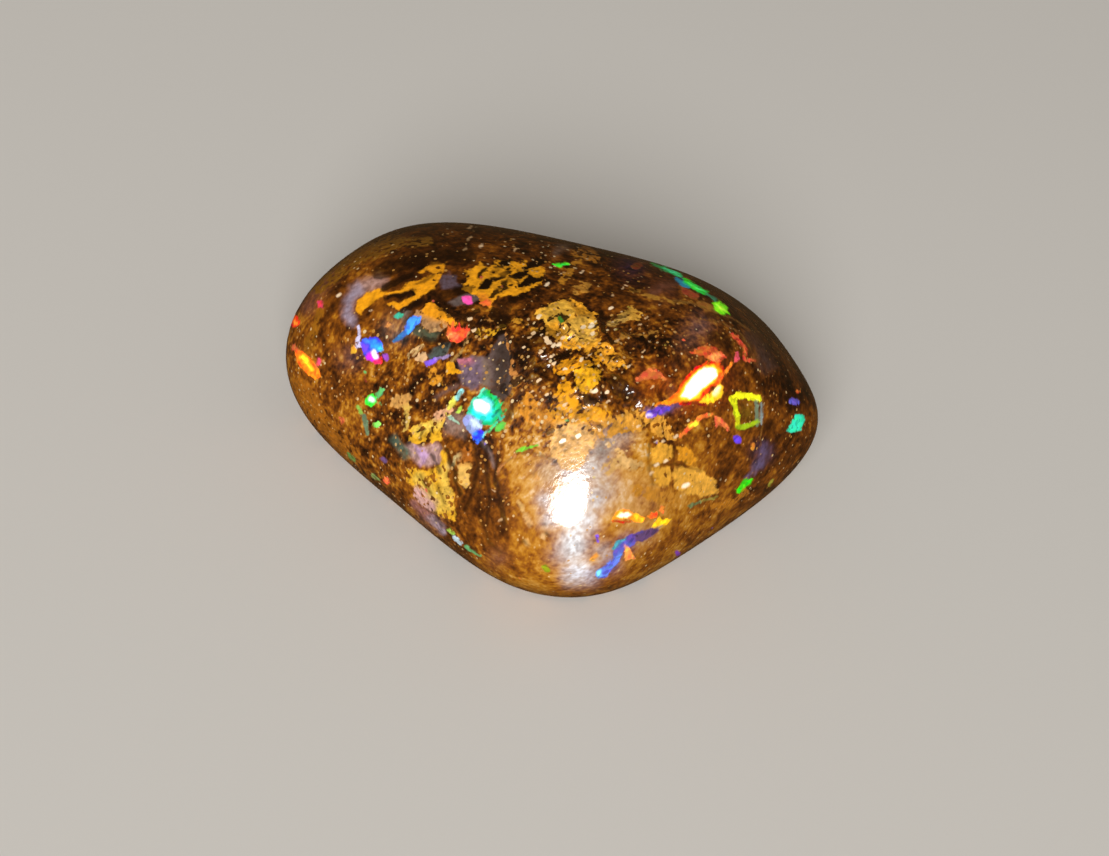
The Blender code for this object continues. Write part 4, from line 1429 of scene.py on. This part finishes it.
    # The body has opal's own IOR, and the coat is the polish, whose mirror is a little brighter.
    for socket, value in (
        ("IOR", 1.45), ("Specular IOR Level", 0.35), ("Roughness", 0.34), ("Coat Weight", 1.0),
        ("Coat Roughness", look.polish), ("Coat IOR", 1.72), ("Emission Strength", 1.0),
    ):
        shader.inputs[socket].default_value = value
    uneven = add_node(tree, "ShaderNodeBump", {
        "Height": clots, "Strength": 0.07, "Distance": 0.06 * MM,
    }).outputs[0]
    unpolished = add_node(tree, MATH, {
        0: field["rough"], 1: EVERYWHERE_ROUGH,
    }, operation="ADD").outputs[0]
    rough_grains = add_node(tree, MATH, {0: grains, 1: unpolished}, operation="MULTIPLY").outputs[0]
    for socket, height, distance in (
        ("Coat Normal", rough_grains, 0.10 * MM), ("Normal", grains, 0.04 * MM),
    ):
        bump = add_node(tree, "ShaderNodeBump", {
            "Height": height, "Strength": 0.5, "Distance": distance, "Normal": uneven,
        })
        tree.links.new(bump.outputs[0], shader.inputs[socket])
    return material


def sawn_ironstone():
    """Sawn ironstone: the blade leaves it matter and greyer, with fine straight marks."""
    material = bpy.data.materials.new("sawn_ironstone")
    material.use_nodes = True
    tree = material.node_tree
    shader = tree.nodes["Principled BSDF"]
    place = add_node(tree, "ShaderNodeTexCoord").outputs["Object"]
    clouds = add_node(tree, NOISE, {
        "Vector": place, "Scale": 1 / (SAWN_CLOUD_SIZE * MM), "Detail": 5.0, "Roughness": 0.6,
    }).outputs["Fac"]
    colour = add_node(tree, "ShaderNodeValToRGB", {"Fac": clouds}, stops=(
        (0.25, linear("#2c1605")), (0.8, linear("#a9773a")), (0.5, linear("#5f360f")),
    )).outputs["Color"]
    tree.links.new(colour, shader.inputs["Base Color"])
    shader.inputs["Roughness"].default_value = 0.55
    lines = add_node(tree, "ShaderNodeTexWave", {
        "Vector": place, "Scale": 1 / (SAW_MARK_SPACING * MM), "Distortion": 0.6, "Detail": 2.0,
    }, bands_direction="Y").outputs["Fac"]
    bump = add_node(tree, "ShaderNodeBump", {
        "Height": lines, "Strength": 0.3, "Distance": 0.02 * MM,
    })
    tree.links.new(bump.outputs[0], shader.inputs["Normal"])
    return material


def pale_floor_paint(look):
    """Matt pale paint of the studio floor."""
    material = bpy.data.materials.new("matt_pale_floor")
    material.use_nodes = True
    shader = material.node_tree.nodes["Principled BSDF"]
    shader.inputs["Base Color"].default_value = (*look.floor_colour, 1.0)
    shader.inputs["Roughness"].default_value = 0.75
    return material


# ---- the add-on -------------------------------------------------------------------------------

class OpalStoneLook(PropertyGroup):
    sharpness: FloatProperty(
        name="Edge sharpness",
        description="A higher number leaves crisper edges between the ground flats",
        default=10.0, min=4.0, max=30.0,
    )
    grain_size: FloatProperty(
        name="Grain size", description="Size of the sand-like grains in the brown matrix",
        default=0.17 * MM, min=0.05 * MM, max=1.0 * MM, precision=5, unit="LENGTH",
    )
    polish: FloatProperty(
        name="Polish", description="Roughness of the polish; lower is glassier",
        default=0.12, min=0.02, max=0.6, subtype="FACTOR",
    )
    crack_colour: FloatVectorProperty(
        name="Cracks", description="Darkest brown, in the cracks and pits",
        default=linear("#190800")[:3], size=3, min=0.0, max=1.0, subtype="COLOR",
    )
    brown_colour: FloatVectorProperty(
        name="Brown", description="Brown of most of the matrix",
        default=linear("#6c3804")[:3], size=3, min=0.0, max=1.0, subtype="COLOR",
    )
    amber_colour: FloatVectorProperty(
        name="Amber", description="Amber of the lighter matrix",
        default=linear("#bf7c16")[:3], size=3, min=0.0, max=1.0, subtype="COLOR",
    )
    tan_colour: FloatVectorProperty(
        name="Tan", description="Palest tan of the matrix",
        default=linear("#f8dcae")[:3], size=3, min=0.0, max=1.0, subtype="COLOR",
    )
    # Strength of the painted glow: emission in the opal colours.
    glow: FloatProperty(
        name="Fire", description="How strongly the opal colours shine from inside the stone",
        default=0.9, min=0.0, max=3.0,
    )


class StudioLook(PropertyGroup):
    floor_size: FloatProperty(
        name="Floor size", description="Side of the square floor",
        default=3.0, min=0.2, max=10.0, unit="LENGTH",
    )
    floor_colour: FloatVectorProperty(
        name="Floor colour", description="Colour of the plain floor",
        default=linear("#dcdad6")[:3], size=3, min=0.0, max=1.0, subtype="COLOR",
    )
    key_strength: FloatProperty(
        name="Key light",
        description="Brightness of the key light on a white surface that faces it",
        default=1.0, min=0.0, max=5.0,
    )
    fill_strength: FloatProperty(
        name="Fill light", description="Brightness of the soft light from all round",
        default=0.26, min=0.0, max=5.0,
    )


def new_object(name, bm, materials):
    """Turn a bmesh into an object of the scene."""
    mesh = bpy.data.meshes.new(name)
    bm.to_mesh(mesh)
    bm.free()
    for material in materials:
        mesh.materials.append(material)
    piece = bpy.data.objects.new(name, mesh)
    bpy.context.scene.collection.objects.link(piece)
    return piece


class OPAL_OT_stone(Operator):
    """Make the polished stone with its markings, in place of the plain solid"""
    bl_idname = "opal.make_stone"
    bl_label = "Make the stone"

    def execute(self, context):
        look = context.scene.opal_stone_look
        bm = bmesh.new()
        shape_stone(bm, look.sharpness)
        saw_base(bm)
        bmesh.ops.scale(bm, verts=bm.verts, vec=(MM, MM, MM))
        fit_to_solid(bm)
        bmesh.ops.recalc_face_normals(bm, faces=bm.faces)
        stone = new_object("polished_stone", bm, [polished_boulder_opal(look), sawn_ironstone()])
        stone.data.shade_smooth()
        stone.data.set_sharp_from_angle(angle=CREASE_ANGLE)
        mark_stone(stone.data, look.sharpness)
        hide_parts("opal_stone")
        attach(stone, "root")
        return {"FINISHED"}


class OPAL_OT_studio(Operator):
    """Make the pale floor, the lights and the camera"""
    bl_idname = "opal.make_studio"
    bl_label = "Make the studio"

    def execute(self, context):
        look = context.scene.opal_studio_look
        bm = bmesh.new()
        bmesh.ops.create_grid(bm, x_segments=1, y_segments=1, size=look.floor_size / 2)
        floor = new_object("studio_floor", bm, [pale_floor_paint(look)])
        floor.visible_glossy = False
        self.add_camera(context)
        self.add_key_light(context, look)
        self.add_fill_light(context, look)
        context.scene.view_settings.view_transform = "Standard"
        return {"FINISHED"}

    def add_fill_light(self, context, look):
        """Soft light from all round, of which the polish shows only a dim warm surround."""
        world = bpy.data.worlds.new("studio")
        world.use_nodes = True
        tree = world.node_tree
        glossy = add_node(tree, "ShaderNodeLightPath").outputs["Is Glossy Ray"]
        colour = add_node(tree, MIX, {
            0: glossy, 6: linear(FILL_COLOUR), 7: linear(REFLECTED_FILL),
        }, data_type="RGBA").outputs[2]
        tree.links.new(colour, tree.nodes["Background"].inputs["Color"])
        tree.nodes["Background"].inputs["Strength"].default_value = look.fill_strength
        context.scene.world = world

    def add_camera(self, context):
        """The camera at the photograph's angle."""
        lens = bpy.data.cameras.new("camera")
        lens.sensor_width = SENSOR_WIDTH
        lens.lens = LENS_POINTS / PICTURE_SIZE[0] * SENSOR_WIDTH
        lens.clip_start, lens.clip_end = CAMERA_CLIP
        camera = bpy.data.objects.new("camera", lens)
        turn = Matrix((CAMERA_RIGHT, CAMERA_UP, -CAMERA_FORWARD)).transposed().to_4x4()
        camera.matrix_world = Matrix.Translation(Vector(CAMERA_PLACE) * MM) @ turn
        context.scene.collection.objects.link(camera)
        context.scene.camera = camera

    def add_key_light(self, context, look):
        """An oval soft light beside the camera, as far out as KEY_DISTANCE says."""
        aim = Vector(CAMERA_TARGET) * MM
        beside = CAMERA_RIGHT * KEY_BESIDE_LENS[0] + CAMERA_UP * KEY_BESIDE_LENS[1]
        away = Vector(CAMERA_PLACE + beside - CAMERA_TARGET).normalized() * KEY_DISTANCE * MM
        lamp = bpy.data.lights.new("key_light", "AREA")
        lamp.shape = "ELLIPSE"
        lamp.size = KEY_SIZE[0] * MM
        lamp.size_y = KEY_SIZE[1] * MM
        # A white surface facing a small lamp shows as 1 when the power is pi squared times the
        # distance squared.
        lamp.energy = look.key_strength * (math.pi * KEY_DISTANCE * MM) ** 2
        lamp.color = linear(KEY_COLOUR)[:3]
        light = bpy.data.objects.new("key_light", lamp)
        turn = (-away).to_track_quat("-Z", "Y").to_matrix().to_4x4()
        light.matrix_world = Matrix.Translation(aim + away) @ turn
        light.visible_camera = False
        context.scene.collection.objects.link(light)


class OPAL_PT_panel(Panel):
    """The cabochon's sizes and colours, and the steps that make it"""
    bl_label = "Boulder opal cabochon"
    bl_idname = "OPAL_PT_panel"
    bl_space_type = "VIEW_3D"
    bl_region_type = "UI"
    bl_category = "Opal"

    def draw(self, context):
        for title, look, step in (
            ("Stone", context.scene.opal_stone_look, OPAL_OT_stone),
            ("Studio", context.scene.opal_studio_look, OPAL_OT_studio),
        ):
            box = self.layout.box()
            box.label(text=title)
            for prop in look.bl_rna.properties:
                if prop.identifier not in ("name", "rna_type"):
                    box.prop(look, prop.identifier)
            box.operator(step.bl_idname)


CLASSES = (OpalStoneLook, StudioLook, OPAL_OT_stone, OPAL_OT_studio, OPAL_PT_panel)


def register():
    for cls in CLASSES:
        bpy.utils.register_class(cls)
    bpy.types.Scene.opal_stone_look = PointerProperty(type=OpalStoneLook)
    bpy.types.Scene.opal_studio_look = PointerProperty(type=StudioLook)


def unregister():
    del bpy.types.Scene.opal_stone_look
    del bpy.types.Scene.opal_studio_look
    for cls in reversed(CLASSES):
        bpy.utils.unregister_class(cls)


def main():
    register()
    bpy.ops.opal.make_stone()
    bpy.ops.opal.make_studio()


if __name__ == "__main__":
    main()
